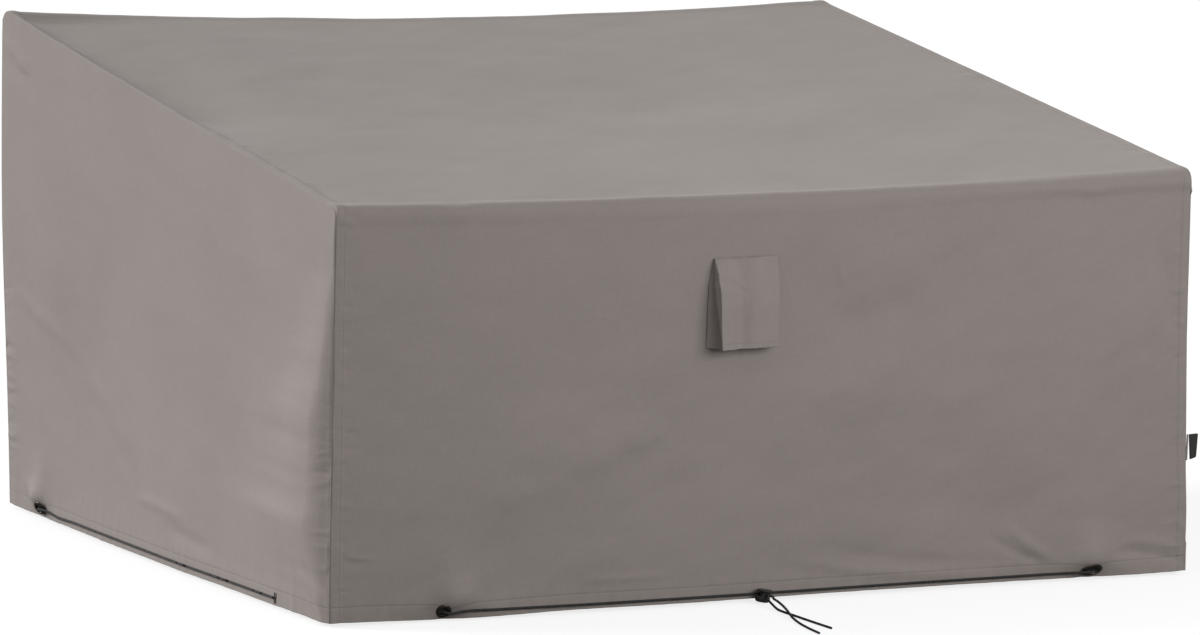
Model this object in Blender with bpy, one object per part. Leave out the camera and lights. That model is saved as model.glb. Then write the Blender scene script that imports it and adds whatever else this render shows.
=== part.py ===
"""Fitted cover for a two-seat garden sofa: sloping top, drawstring hem and one vent hood.

Metres, X to the right along the front, Y to the back, Z up. Below, "cloth" coordinates start at the
front left-right middle with the hem on z = 0; an empty moves them so that the origin lies on the
ground under the middle of the cover. The sofa inside holds the hem just clear of the ground.
"""
import math
from collections import namedtuple

import bmesh
import bpy
from mathutils import Matrix, Vector
from mathutils.bvhtree import BVHTree

# ---- driving dimensions -------------------------------------------------------------------------
WIDTH = 1.400
DEPTH = 1.020
BACK_HEIGHT = 0.730
FRONT_HEIGHT = 0.572
HEM_CLEAR = 0.006            # hem above the ground
PLAN_CENTRE = (-0.002, 0.495)  # middle of the whole cover, in cloth coordinates

CLOTH = 0.002                # coated cloth as it stands, with its small creases
GAP = 0.0003                 # between touching pieces
SEAM_GAP = 0.0008            # between the panels at a seam
HEM_HEIGHT = 0.026
HEM_EXTRA = 0.001            # the hem's turned-up layers stand this much prouder
HEM_STEP = 0.003
ABOVE_HEM = 0.058            # a row of the mesh between the hem and the next
SEAM_BAND = 0.018            # felled seam beside each side edge
SEAM_EXTRA = 0.001
SEAM_STEP = 0.002

FRONT_FOLD_RADIUS = 0.014    # at mid width
BACK_FOLD_RADIUS = 0.012
END_FOLD_RADIUS = 0.007      # of both folds, at the side seams
FOLD_WIDENS = 0.15           # over this share of the width
FRONT_SAG = 0.010            # of the front fold, at mid width
BACK_SAG = 0.018             # of the back ridge, at mid width
SIDE_BOW = 0.010             # of each side's hem, outward, at mid depth
SIDE_BOW_HEIGHT = 0.350

# ---- how far each corner hangs from the even shape ----------------------------------------------
Offset = namedtuple("Offset", "right back up")
CORNER_OFFSETS = {
    ("front", "left", "hem"): Offset(0.015, -0.003, 0.000),
    ("front", "left", "top"): Offset(0.006, -0.004, -0.006),
    ("back", "left", "top"): Offset(-0.017, 0.008, 0.005),
    ("back", "left", "hem"): Offset(0.012, 0.007, 0.000),
    ("front", "right", "hem"): Offset(-0.002, -0.019, 0.000),
    ("front", "right", "top"): Offset(-0.004, 0.005, 0.008),
    ("back", "right", "top"): Offset(-0.026, 0.004, 0.0005),
    ("back", "right", "hem"): Offset(-0.012, 0.000, 0.000),
}

# ---- waves of the upright side seams, outward, dying out toward the other depth ------------------
Wave = namedtuple("Wave", "side depth up half out")
SEAM_WAVES = [
    Wave("left", "back", 0.440, 0.240, 0.0065),
    Wave("right", "front", 0.350, 0.110, -0.0022),
    Wave("right", "front", 0.075, 0.045, 0.0030),
]

# ---- where the hem hangs lower: middle along the front, half length, drop ------------------------
Drop = namedtuple("Drop", "along half down")
HEM_DROPS = [Drop(-0.500, 0.110, 0.0036), Drop(-0.100, 0.150, 0.0010), Drop(0.560, 0.120, 0.0018)]

# ---- soft folds: middle (shares of the panel), size along and across, turn, height outward -------
Fold = namedtuple("Fold", "panel across up long wide turn height")
FOLDS = [
    Fold("front", 0.30, 0.00, 0.300, 0.250, 0, 0.009),    # hem bellies out left of the middle
    Fold("front", 0.20, 0.36, 0.260, 0.050, 24, 0.006),   # long soft ridge, rising to the right
    Fold("front", 0.29, 0.24, 0.240, 0.050, 24, -0.005),
    Fold("front", 0.62, 0.52, 0.260, 0.055, 20, 0.004),
    Fold("front", 0.66, 0.70, 0.220, 0.055, 14, -0.005),
    Fold("front", 0.86, 0.42, 0.120, 0.070, 40, 0.005),
    Fold("front", 0.78, 0.22, 0.130, 0.045, -30, -0.005),  # drawn down to the right eyelet
    Fold("front", 0.84, 0.17, 0.110, 0.040, -38, 0.005),
    Fold("top", 0.08, 0.62, 0.260, 0.045, 84, -0.012),    # trough beside the left seam
    Fold("top", 0.45, 0.50, 0.330, 0.260, 0, -0.008),
    Fold("top", 0.72, 0.40, 0.220, 0.080, 20, 0.004),
    Fold("left", 0.12, 0.35, 0.180, 0.050, 90, 0.006),    # across runs from the front to the back
    Fold("left", 0.28, 0.40, 0.170, 0.055, 88, -0.005),
    Fold("left", 0.46, 0.35, 0.180, 0.065, 80, 0.005),
    Fold("left", 0.64, 0.45, 0.200, 0.060, 66, -0.005),
    Fold("left", 0.85, 0.60, 0.180, 0.060, 75, 0.005),
    Fold("right", 0.15, 0.40, 0.180, 0.060, 88, 0.005),
    Fold("right", 0.36, 0.36, 0.180, 0.060, 80, -0.005),
    Fold("right", 0.60, 0.45, 0.200, 0.070, 74, 0.006),
    Fold("right", 0.82, 0.50, 0.180, 0.060, 84, -0.004),
    Fold("back", 0.25, 0.45, 0.250, 0.080, 78, 0.006),
    Fold("back", 0.52, 0.50, 0.260, 0.080, 90, -0.006),
    Fold("back", 0.76, 0.45, 0.250, 0.080, 98, 0.006),
]
FOLD_FREE_EDGE = 0.060       # folds die out over this much beside a seam
FLAT_AROUND_HOOD = (0.075, 0.090)  # and over this half width and half height at the hood

# ---- eyelets: place along the wall and up; the cloth's own place of most pull, its pull inward at
# ---- the hem's edge and outward at its top; how far the cord has stretched the ring along the hem
Eyelet = namedtuple("Eyelet", "name wall along up peak inward outward half stretch")
EYELETS = [
    Eyelet("eyelet_front_left", "front", -0.5135, 0.0106, -0.513, 0.0030, 0.0165, 0.030, 1.00),
    Eyelet("eyelet_front_right", "front", 0.5350, 0.0116, 0.537, 0.0030, 0.0165, 0.034, 1.55),
    Eyelet("eyelet_side_left", "left", 0.8940, 0.0165, 0.910, 0.0015, 0.0180, 0.024, 1.00),
    Eyelet("eyelet_side_right", "right", 0.8940, 0.0165, 0.910, 0.0015, 0.0180, 0.024, 1.00),
]
EYELET_OUTER = 0.0110
EYELET_HOLE = 0.0042
EYELET_THICK = 0.0024
DRAWN_TOP = 0.026
DRAWN_FADE = 0.030

# ---- cords --------------------------------------------------------------------------------------
CORD = 0.0035                # diameter
RUN_CLEAR = 0.0010           # of a held run from the cloth, which is uneven under it
CORD_UP = 0.0080             # height of the held runs above the hem's edge, at the eyelets
CORD_UP_AT_LOCK = 0.0070
SIDE_RUN_FRONT = 0.1420      # where each side's cord is sewn down
BARTACK = (0.003, 0.0024, 0.015)  # along, out, up
SIDE_CORD_UP = 0.0112

# Free ends: cloth coordinates of each route, from just off the lock to the cut end on the ground.
TAIL_ONE = [
    (-0.0112, -0.0487, 0.0046), (-0.0134, -0.0640, 0.0032), (-0.0180, -0.0830, 0.0020),
    (-0.0245, -0.1030, 0.0012), (-0.0312, -0.1218, 0.0002), (-0.0410, -0.1500, -0.0024),
    (-0.0496, -0.1830, -0.0040), (-0.0580, -0.2230, -0.0040), (-0.0630, -0.2590, -0.0040),
]
TAIL_TWO = [
    (-0.0216, -0.0515, 0.0046), (-0.0246, -0.0682, 0.0004), (-0.0265, -0.0860, -0.0032),
    (-0.0271, -0.1080, -0.0040), (-0.0270, -0.1305, -0.0040), (-0.0275, -0.1622, -0.0040),
    (-0.0276, -0.1965, -0.0040), (-0.0273, -0.2320, -0.0040),
]

# ---- cord lock ----------------------------------------------------------------------------------
LOCK_FOOT = (-0.0152, -0.0290, -0.0038)   # middle of the drum's foot, on the plunger's axis
LOCK_LEAN = math.radians(8)               # to the right
DRUM_RADIUS = 0.0100
DRUM_STRETCH = 1.07                       # its outside is oval,
DRUM_LOBE = -0.0028                       # and off the axis, to the left
DRUM_HEIGHT = 0.0082
DRUM_FOOT_RADIUS = 0.0070
NECK_RADIUS = 0.0076
NECK_TOP = 0.0120
BORE_RADIUS = 0.0055
BORE_FLOOR = 0.0020
STEM_RADIUS = 0.0049
STEM_FOOT = 0.0052
CAP_RADIUS = 0.0121
CAP_UNDER = 0.0147
CAP_TOP = 0.0180
CORD_PORT_UP = 0.0104                     # cords enter the neck at this height
PORTS = {"left": 125, "right": 60, "tail_one": -66, "tail_two": -100}  # degrees around the neck

LOCK_TURN_IN = 0.0120                     # from the neck to where a run leaves the hem for it
LOCK_REACH = 0.0300                       # and to where it still lies straight
PORT_GAP = 0.0004                         # between a cord's end and the round neck

# ---- vent hood ----------------------------------------------------------------------------------
HOOD_LEFT = -0.1015           # the flap's side edges
HOOD_RIGHT = -0.0002
HOOD_TOP = 0.4788
HOOD_BOTTOM = 0.3550
HOOD_SKEW = 0.0012            # its top's right end is this much higher than its middle
HOOD_DISH = 0.005             # flap dished between its side edges
HoodRow = namedtuple("HoodRow", "down left right splay_left splay_right")
HOOD_ROWS = [                 # share down, how far each side edge stands off, how much wider the base is
    HoodRow(0.00, 0.005, 0.004, 0.000, 0.000),
    HoodRow(0.08, 0.012, 0.006, 0.002, 0.001),
    HoodRow(0.17, 0.017, 0.009, 0.004, 0.002),
    HoodRow(0.29, 0.023, 0.012, 0.007, 0.003),
    HoodRow(0.50, 0.028, 0.017, 0.0088, 0.004),
    HoodRow(0.74, 0.030, 0.020, 0.0092, 0.005),
    HoodRow(1.00, 0.034, 0.024, 0.0105, 0.006),
]
HOOD_COLUMNS = 8
HOOD_TOP_LIP = 0.003          # the sewn top edge above the flap
SEAM_LIP = 0.001              # the sewn side edges beyond the gussets

# ---- tab on the right front seam ----------------------------------------------------------------
TAB_DEPTH = -0.0095           # middle of its thickness
STRIP_THICK = 0.0022          # cloth strip in the seam
STRIP = [(0.0000, 0.1600), (0.0030, 0.1600), (0.0030, 0.1985), (0.0000, 0.1985)]  # right, up
TAPE_THICK = 0.0030           # folded woven tape held by it
TAPE = [(0.0068, 0.1608), (0.0182, 0.1640), (0.0198, 0.1990), (0.0034, 0.1985)]

# ---- meshing ------------------------------------------------------------------------------------
PANEL_COLUMNS = 21
FRONT_ROWS = 8
TOP_ROWS = 12
BACK_ROWS = 9
FOLD_STEPS = 4
SIDE_ROWS = 9
CORD_STEPS = 3

MATERIALS = {
    "cloth": ((0.235, 0.212, 0.200), 0.82, 0.0),
    "cord_black": ((0.012, 0.011, 0.010), 0.75, 0.0),
    "eyelet_metal": ((0.055, 0.052, 0.046), 0.38, 0.8),
    "lock_plastic": ((0.016, 0.016, 0.015), 0.42, 0.0),
    "tape_black": ((0.018, 0.016, 0.013), 0.80, 0.0),
}


# ---- small helpers ------------------------------------------------------------------------------
def mix(a, b, t):
    return a + (b - a) * t


def smooth(t):
    t = min(1.0, max(0.0, t))
    return t * t * (3.0 - 2.0 * t)


def bell(distance, half):
    return math.exp(-(distance / half) ** 2)


def spline(points, steps):
    """Points on a smooth curve through the given ones, that many in each span however long."""
    pts = [Vector(p) for p in points]
    spans = [(b - a).length for a, b in zip(pts, pts[1:])]
    slopes = [(b - a) / d for a, b, d in zip(pts, pts[1:], spans)]
    tangents = [slopes[0]]
    for i in range(1, len(pts) - 1):
        before, after = spans[i - 1], spans[i]
        tangents.append((slopes[i - 1] * after + slopes[i] * before) / (before + after))
    tangents.append(slopes[-1])
    out = []
    for i, span in enumerate(spans):
        for step in range(steps):
            t = step / steps
            out.append(pts[i] * (2 * t ** 3 - 3 * t * t + 1) + pts[i + 1] * (3 * t * t - 2 * t ** 3)
                       + tangents[i] * span * (t ** 3 - 2 * t * t + t)
                       + tangents[i + 1] * span * (t ** 3 - t * t))
    return out + [pts[-1]]


# ---- the cover's shape --------------------------------------------------------------------------
def corner(depth, side, level):
    off = CORNER_OFFSETS[(depth, side, level)]
    height = {"hem": 0.0, "top": FRONT_HEIGHT if depth == "front" else BACK_HEIGHT}[level]
    x = (WIDTH / 2 if side == "right" else -WIDTH / 2) + off.right
    y = (DEPTH if depth == "back" else 0.0) + off.back
    return Vector((x, y, height + off.up))


def side_word(side):
    return "left" if side < 0 else "right"


def wall_x(side, y, z):
    """Outer face of the left (-1) or right (+1) wall, before its folds."""
    word = side_word(side)
    front = mix(corner("front", word, "hem").x, corner("front", word, "top").x, z / FRONT_HEIGHT)
    back = mix(corner("back", word, "hem").x, corner("back", word, "top").x, z / BACK_HEIGHT)
    across = min(1.0, max(0.0, y / DEPTH))
    bow = SIDE_BOW * math.sin(math.pi * across) * max(0.0, 1.0 - z / SIDE_BOW_HEIGHT) ** 2
    for wave in SEAM_WAVES:
        if wave.side == word:
            near = across if wave.depth == "back" else 1.0 - across
            bow += wave.out * bell(z - wave.up, wave.half) * near
    return mix(front, back, y / DEPTH) + side * bow


def fold_height(panel, across, up, width, height):
    """Height of the folds at a share across and up a panel of that size."""
    total = 0.0
    for fold in FOLDS:
        if fold.panel != panel:
            continue
        dx = (across - fold.across) * width
        dz = (up - fold.up) * height
        turn = math.radians(fold.turn)
        along = dx * math.cos(turn) + dz * math.sin(turn)
        off = dz * math.cos(turn) - dx * math.sin(turn)
        total += fold.height * bell(along, fold.long) * bell(off, fold.wide)
    beside = min(across, 1.0 - across) * width
    return total * smooth(beside / FOLD_FREE_EDGE)


def drawn(wall, along, up):
    """How the cord draws the hem out above each eyelet and in below it."""
    total = 0.0
    for e in EYELETS:
        if e.wall != wall:
            continue
        if up < DRAWN_TOP:
            level = mix(-e.inward, e.outward, up / DRAWN_TOP)
        else:
            level = e.outward * bell(up - DRAWN_TOP, DRAWN_FADE)
        total += level * bell(along - e.peak, e.half)
    return total


def turning_points(u):
    """Front hem, front fold, back ridge and back hem (y, z) at a share u from left to right."""
    out = []
    for depth, level, sag in (("front", "hem", 0), ("front", "top", FRONT_SAG),
                              ("back", "top", BACK_SAG), ("back", "hem", 0)):
        p = corner(depth, "left", level).lerp(corner(depth, "right", level), u)
        z = p.z - sag * math.sin(math.pi * u)
        if (depth, level) == ("front", "hem"):
            z -= sum(drop.down * bell((u - 0.5) * WIDTH - drop.along, drop.half) for drop in HEM_DROPS)
        out.append(Vector((p.y, z)))
    return out


def arc_at(before, at, after, radius, steps):
    """The turn at a point rounded to an arc: its points with their outward normals."""
    e1, e2 = (at - before).normalized(), (after - at).normalized()
    n1, n2 = Vector((-e1.y, e1.x)), Vector((-e2.y, e2.x))
    turn = math.acos(max(-1.0, min(1.0, e1.dot(e2))))
    start = at - e1 * (radius * math.tan(turn / 2))
    middle = start - n1 * radius
    out = []
    for i in range(steps + 1):
        n = n1.slerp(n2, i / steps)
        out.append((middle + n * radius, n))
    return out


def leg_shares(length, rows, hem_first, hem_last):
    """Shares along a straight leg, with the hem's own rows at the ends that have a hem."""
    low = (HEM_HEIGHT + HEM_STEP) / length if hem_first else 0.0
    high = 1.0 - (HEM_HEIGHT + HEM_STEP) / length if hem_last else 1.0
    shares = [mix(low, high, i / rows) for i in range(rows + 1)]
    if hem_first:
        shares = [0.0, HEM_HEIGHT / length, shares[0], ABOVE_HEM / length] + shares[1:]
    if hem_last:
        shares = shares[:-1] + [1.0 - ABOVE_HEM / length, shares[-1], 1.0 - HEM_HEIGHT / length, 1.0]
    return shares


Station = namedtuple("Station", "panel share point normal hem")


def cross_section(u):
    """The main panel's outer line at a share u, from the front hem over the top to the back hem."""
    a, b, c, d = turning_points(u)
    middle = smooth(min(u, 1.0 - u) / FOLD_WIDENS)
    front_arc = arc_at(a, b, c, mix(END_FOLD_RADIUS, FRONT_FOLD_RADIUS, middle), FOLD_STEPS)
    back_arc = arc_at(b, c, d, mix(END_FOLD_RADIUS, BACK_FOLD_RADIUS, middle), FOLD_STEPS)
    legs = (("front", a, front_arc[0][0], FRONT_ROWS, True, False),
            ("top", front_arc[-1][0], back_arc[0][0], TOP_ROWS, False, False),
            ("back", back_arc[-1][0], d, BACK_ROWS, False, True))
    stations = []
    for (panel, start, end, rows, hem_first, hem_last), arc in zip(legs, (front_arc, back_arc, None)):
        length = (end - start).length
        along = (end - start).normalized()
        normal = Vector((-along.y, along.x))
        for share in leg_shares(length, rows, hem_first, hem_last):
            from_hem = share * length if hem_first else (1.0 - share) * length
            hem = (hem_first or hem_last) and from_hem < HEM_HEIGHT + 0.0005
            stations.append(Station(panel, share, start.lerp(end, share), normal, hem))
        if arc:
            for point, n in arc[1:-1]:
                stations.append(Station("fold", 0.0, point, n, False))
    return stations


def panel_shares():
    """Shares across the main panel: the seam band at each side, and more beside each eyelet."""
    band, step = SEAM_BAND / WIDTH, (SEAM_BAND + SEAM_STEP) / WIDTH
    inner = [mix(step, 1.0 - step, i / PANEL_COLUMNS) for i in range(PANEL_COLUMNS + 1)]
    extra = []
    for e in EYELETS:
        if e.wall == "front":
            at = 0.5 + e.along / WIDTH
            extra += [at + d / WIDTH for d in (-0.036, -0.018, -0.006, 0.006, 0.018, 0.036)]
    kept = [s for s in inner if all(abs(s - x) > 0.014 for x in extra)]
    return sorted([0.0, band] + kept + extra + [1.0 - band, 1.0])


def panel_extra(u, hem):
    edge = min(u, 1.0 - u) * WIDTH
    seam = SEAM_EXTRA if edge < SEAM_BAND + 0.0005 else 0.0
    return seam + (HEM_EXTRA if hem else 0.0)


def stand_off(station, u):
    """Folds and the cord's pull at one point of the main panel, outward."""
    if station.panel == "fold":
        return 0.0
    height = {"front": FRONT_HEIGHT, "top": DEPTH, "back": BACK_HEIGHT}[station.panel]
    up = 1.0 - station.share if station.panel == "back" else station.share
    total = fold_height(station.panel, u, up, WIDTH, height)
    if station.panel == "top":
        total *= smooth(min(up, 1.0 - up) * height / FOLD_FREE_EDGE)
    else:
        total *= smooth((1.0 - up) * height / FOLD_FREE_EDGE)
    if station.panel == "front":
        x, z = (u - 0.5) * WIDTH, station.point.y
        hood_x, hood_z = (HOOD_LEFT + HOOD_RIGHT) / 2, (HOOD_TOP + HOOD_BOTTOM) / 2
        away = max(abs(x - hood_x) / FLAT_AROUND_HOOD[0], abs(z - hood_z) / FLAT_AROUND_HOOD[1])
        total *= smooth(away - 1.0)
        total += drawn("front", x, z)
    return total


# ---- mesh building ------------------------------------------------------------------------------
def sheet_solid(name, outer, inner, material):
    """A closed sheet between two grids of points of the same size, faces outward."""
    rows, columns = len(outer), len(outer[0])
    mesh = bpy.data.meshes.new(name)
    bm = bmesh.new()
    top = [[bm.verts.new(p) for p in row] for row in outer]
    low = [[bm.verts.new(p) for p in row] for row in inner]
    for i in range(rows - 1):
        for j in range(columns - 1):
            bm.faces.new((top[i][j], top[i][j + 1], top[i + 1][j + 1], top[i + 1][j]))
            bm.faces.new((low[i][j], low[i + 1][j], low[i + 1][j + 1], low[i][j + 1]))
    rim = [(0, j) for j in range(columns)] + [(i, columns - 1) for i in range(1, rows)]
    rim += [(rows - 1, j) for j in range(columns - 2, -1, -1)] + [(i, 0) for i in range(rows - 2, 0, -1)]
    for (i, j), (k, m) in zip(rim, rim[1:] + rim[:1]):
        bm.faces.new((top[k][m], top[i][j], low[i][j], low[k][m]))
    return finish_mesh(name, mesh, bm, material)


def lathe(name, profile, segments, material):
    """A solid turned about its own Z from (radius, height) points; radius 0 closes it at a point."""
    mesh = bpy.data.meshes.new(name)
    bm = bmesh.new()
    rings = []
    for radius, z in profile:
        if radius == 0.0:
            rings.append([bm.verts.new((0.0, 0.0, z))] * segments)
            continue
        ring = []
        for k in range(segments):
            a = 2 * math.pi * k / segments
            ring.append(bm.verts.new((radius * math.cos(a), radius * math.sin(a), z)))
        rings.append(ring)
    closed = profile[0][0] != 0.0
    pairs = list(zip(rings, rings[1:])) + ([(rings[-1], rings[0])] if closed else [])
    for low, high in pairs:
        for k in range(segments):
            n = (k + 1) % segments
            corners = [low[k], low[n], high[n], high[k]]
            unique = [v for i, v in enumerate(corners) if v not in corners[:i]]
            if len(unique) > 2:
                bm.faces.new(unique)
    return finish_mesh(name, mesh, bm, material)


def finish_mesh(name, mesh, bm, material):
    bmesh.ops.recalc_face_normals(bm, faces=bm.faces)
    if bm.calc_volume(signed=True) < 0:
        bmesh.ops.reverse_faces(bm, faces=bm.faces)
    bmesh.ops.triangulate(bm, faces=bm.faces)
    bm.to_mesh(mesh)
    bm.free()
    mesh.shade_smooth()
    mesh.set_sharp_from_angle(angle=math.radians(40))
    obj = bpy.data.objects.new(name, mesh)
    mesh.materials.append(MADE[material])
    bpy.context.scene.collection.objects.link(obj)
    return obj


def cord(name, points, material):
    curve = bpy.data.curves.new(name, "CURVE")
    curve.dimensions = "3D"
    curve.bevel_depth = CORD / 2
    curve.bevel_resolution = 2
    curve.use_fill_caps = True
    spline_data = curve.splines.new("POLY")
    spline_data.points.add(len(points) - 1)
    for point, p in zip(spline_data.points, points):
        point.co = (*p, 1.0)
    curve.materials.append(MADE[material])
    obj = bpy.data.objects.new(name, curve)
    bpy.context.scene.collection.objects.link(obj)
    return obj


def make_materials():
    made = {}
    for name, (color, roughness, metallic) in MATERIALS.items():
        mat = bpy.data.materials.new(name)
        mat.use_nodes = True
        shader = mat.node_tree.nodes["Principled BSDF"]
        shader.inputs["Base Color"].default_value = (*color, 1.0)
        shader.inputs["Roughness"].default_value = roughness
        shader.inputs["Metallic"].default_value = metallic
        made[name] = mat
    return made


# ---- cloth panels -------------------------------------------------------------------------------
def make_main_panel():
    """Front, top and back in one length, between the two side panels."""
    outer, inner = [], []
    shares = panel_shares()
    sections = [cross_section(u) for u in shares]
    for i in range(len(sections[0])):
        out_row, in_row = [], []
        for u, section in zip(shares, sections):
            s = section[i]
            y, z = s.point
            left = wall_x(-1, y, z) + CLOTH + SEAM_GAP
            right = wall_x(1, y, z) - CLOTH - SEAM_GAP
            x = mix(left, right, u)
            off = stand_off(s, u)
            face = s.point + s.normal * (off + panel_extra(u, s.hem))
            back = s.point + s.normal * (off - CLOTH)
            out_row.append((x, face.x, face.y))
            in_row.append((x, back.x, back.y))
        outer.append(out_row)
        inner.append(in_row)
    return sheet_solid("main_panel", outer, inner, "cloth")


def make_side_panel(side):
    """A whole side, its top edge cut to the slope and its hem along the ground."""
    wall = side_word(side)
    section = cross_section(0.0 if side < 0 else 1.0)
    tops = [s.point for s in section if s.panel in ("fold", "top")]
    front = [s for s in section if s.panel == "front"]
    back = [s for s in section if s.panel == "back"]
    tops = [front[-1].point] + tops + [back[0].point]
    eyelet = next(e for e in EYELETS if e.wall == wall)
    extra = [eyelet.peak + d for d in (-0.045, -0.024, -0.008, 0.008, 0.024, 0.045)]
    kept = [p for p in tops if all(abs(p.x - y) > 0.014 for y in extra) or p in (tops[0], tops[-1])]
    top_line = [s.point for s in section if s.panel == "top"]
    for y in extra:
        t = (y - top_line[0].x) / (top_line[-1].x - top_line[0].x)
        kept.append(top_line[0].lerp(top_line[-1], t))
    tops = sorted(kept, key=lambda p: p.x)
    foot_front, foot_back = front[0].point, back[-1].point
    outer, inner = [], []
    for top in tops:
        share = (top.x - tops[0].x) / (tops[-1].x - tops[0].x)
        foot = foot_front.lerp(foot_back, share)
        length = (top - foot).length
        out_col, in_col = [], []
        for up in leg_shares(length, SIDE_ROWS, True, False):
            y, z = foot.lerp(top, up)
            hem = up * length < HEM_HEIGHT + 0.0005
            near_top = smooth((1.0 - up) * length / FOLD_FREE_EDGE)
            off = fold_height(wall, share, up, DEPTH, length) * near_top + drawn(wall, y, z)
            x = wall_x(side, y, z)
            out_col.append((x + side * (off + (HEM_EXTRA if hem else 0.0)), y, z))
            in_col.append((x + side * (off - CLOTH), y, z))
        outer.append(out_col)
        inner.append(in_col)
    return sheet_solid(f"side_panel_{wall}", outer, inner, "cloth")


# ---- seats on the finished cloth ----------------------------------------------------------------
class Wall:
    """Finds the outer face of a finished panel, looking in from outside it."""

    DIRECTIONS = {"front": Vector((0, 1, 0)), "left": Vector((1, 0, 0)), "right": Vector((-1, 0, 0))}

    def __init__(self, wall, obj):
        self.inward = self.DIRECTIONS[wall]
        self.tree = BVHTree.FromPolygons([v.co for v in obj.data.vertices],
                                         [tuple(p.vertices) for p in obj.data.polygons])

    def face(self, along, up):
        """The point of the face at a place along the wall (x, or y on a side) and up it."""
        if self.inward.y:
            start = Vector((along, -0.3, up))
        else:
            start = Vector((-self.inward.x, along, up))
        return self.tree.ray_cast(start, self.inward)[0]

    def off(self, along, up, clearance):
        """A point that far out from the face, clear of the cloth close around it."""
        point = self.face(along, up)
        near = [self.face(along + d, up + e) for d in (-0.006, 0.0, 0.006) for e in (-0.0015, 0.0015)]
        outmost = min((p - point).dot(self.inward) for p in near + [point])
        return point + self.inward * (outmost - clearance)

    def cleared(self, point, distance):
        """The point moved straight out until it is that far from the cloth."""
        for _ in range(4):
            short = distance - self.tree.find_nearest(point)[3]
            if short <= 0.0:
                break
            point = point - self.inward * short
        return point

    def frame(self, along, up, reach):
        """Outward normal and the two directions of the face around a place."""
        beside = (self.face(along + reach, up) - self.face(along - reach, up)).normalized()
        upward = (self.face(along, up + reach) - self.face(along, up - reach)).normalized()
        normal = beside.cross(upward).normalized()
        if normal.dot(self.inward) > 0:
            normal = -normal
        return normal, beside, upward


def make_eyelet(e, wall):
    """A flanged ring lying on the hem's outer face, clear of it all round."""
    reach = EYELET_OUTER * 0.85
    normal, beside, _ = wall.frame(e.along, e.up, reach)
    centre = wall.face(e.along, e.up)
    turned = Matrix((beside, normal.cross(beside), normal)).transposed().to_4x4()
    lift = 0.0
    for k in range(16):
        a = 2 * math.pi * k / 16
        spot = centre + turned.to_3x3() @ Vector((e.stretch * math.cos(a), math.sin(a), 0.0)) * EYELET_OUTER
        along = spot.x if wall.inward.y else spot.y
        face = wall.face(along, max(spot.z, 0.0005))
        if face is not None:
            lift = max(lift, (face - spot).dot(normal))
    middle = (EYELET_OUTER + EYELET_HOLE) / 2
    half = (EYELET_OUTER - EYELET_HOLE) / 2
    profile = []
    for k in range(8):
        a = 2 * math.pi * k / 8
        profile.append((middle + half * math.cos(a), EYELET_THICK / 2 * math.sin(a)))
    seat = centre + normal * (lift + 2 * GAP + EYELET_THICK / 2)
    ring = lathe(e.name, profile, 20, "eyelet_metal")
    for vertex in ring.data.vertices:
        vertex.co.x *= e.stretch
    ring.matrix_basis = Matrix.Translation(seat) @ turned
    return ring, seat, normal


def lock_matrix():
    return Matrix.Translation(LOCK_FOOT) @ Matrix.Rotation(LOCK_LEAN, 4, "Y")


def make_cord_lock():
    """Drum with a neck and a bore, and the sprung plunger that slides down in it."""
    at = lock_matrix()
    belly = [(mix(DRUM_FOOT_RADIUS, DRUM_RADIUS, math.sin(a)), 0.0048 * (1.0 - math.cos(a)))
             for a in (math.pi / 2 * k / 4 for k in range(5))]
    drum = [(0.0, 0.0)] + belly + [
        (DRUM_RADIUS, DRUM_HEIGHT - 0.0010), (DRUM_RADIUS - 0.0010, DRUM_HEIGHT),
        (NECK_RADIUS, DRUM_HEIGHT), (NECK_RADIUS, NECK_TOP),
        (BORE_RADIUS, NECK_TOP), (BORE_RADIUS, BORE_FLOOR), (0.0, BORE_FLOOR)]
    plunger = [(0.0, STEM_FOOT), (STEM_RADIUS, STEM_FOOT), (STEM_RADIUS, CAP_UNDER),
               (CAP_RADIUS - 0.0010, CAP_UNDER), (CAP_RADIUS, CAP_UNDER + 0.0010),
               (CAP_RADIUS, CAP_TOP - 0.0012), (CAP_RADIUS - 0.0014, CAP_TOP - 0.0003),
               (CAP_RADIUS * 0.5, CAP_TOP), (0.0, CAP_TOP)]
    pieces = [lathe("lock_drum", drum, 24, "lock_plastic"), lathe("lock_plunger", plunger, 24, "lock_plastic")]
    for vertex in pieces[0].data.vertices:
        outside = vertex.co.xy.length > BORE_RADIUS + GAP and vertex.co.z < DRUM_HEIGHT + GAP
        if outside and abs(vertex.co.xy.length - NECK_RADIUS) > GAP:
            vertex.co.x = vertex.co.x * DRUM_STRETCH + DRUM_LOBE
    for piece in pieces:
        piece.matrix_basis = at
    return pieces


def lock_port(name, out):
    """A point on the line of a cord that meets the neck, that far out from the neck."""
    a = math.radians(PORTS[name])
    reach = NECK_RADIUS + out
    return lock_matrix() @ Vector((math.cos(a) * reach, math.sin(a) * reach, CORD_PORT_UP))


def out_of_eyelet(seat, normal, toward, stretch):
    """A cord's first points: out of the hole and over the ring's rim."""
    along = (toward - normal * toward.dot(normal)).normalized()
    rim = EYELET_THICK / 2 + CORD / 2 + 0.0006
    return [seat + normal * 0.0019 - along * 0.0016,
            seat + normal * (rim - 0.0001) + along * 0.0036 * stretch,
            seat + normal * rim + along * 0.0085 * stretch,
            seat + normal * (rim - 0.0003) + along * 0.0130 * stretch]


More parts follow.
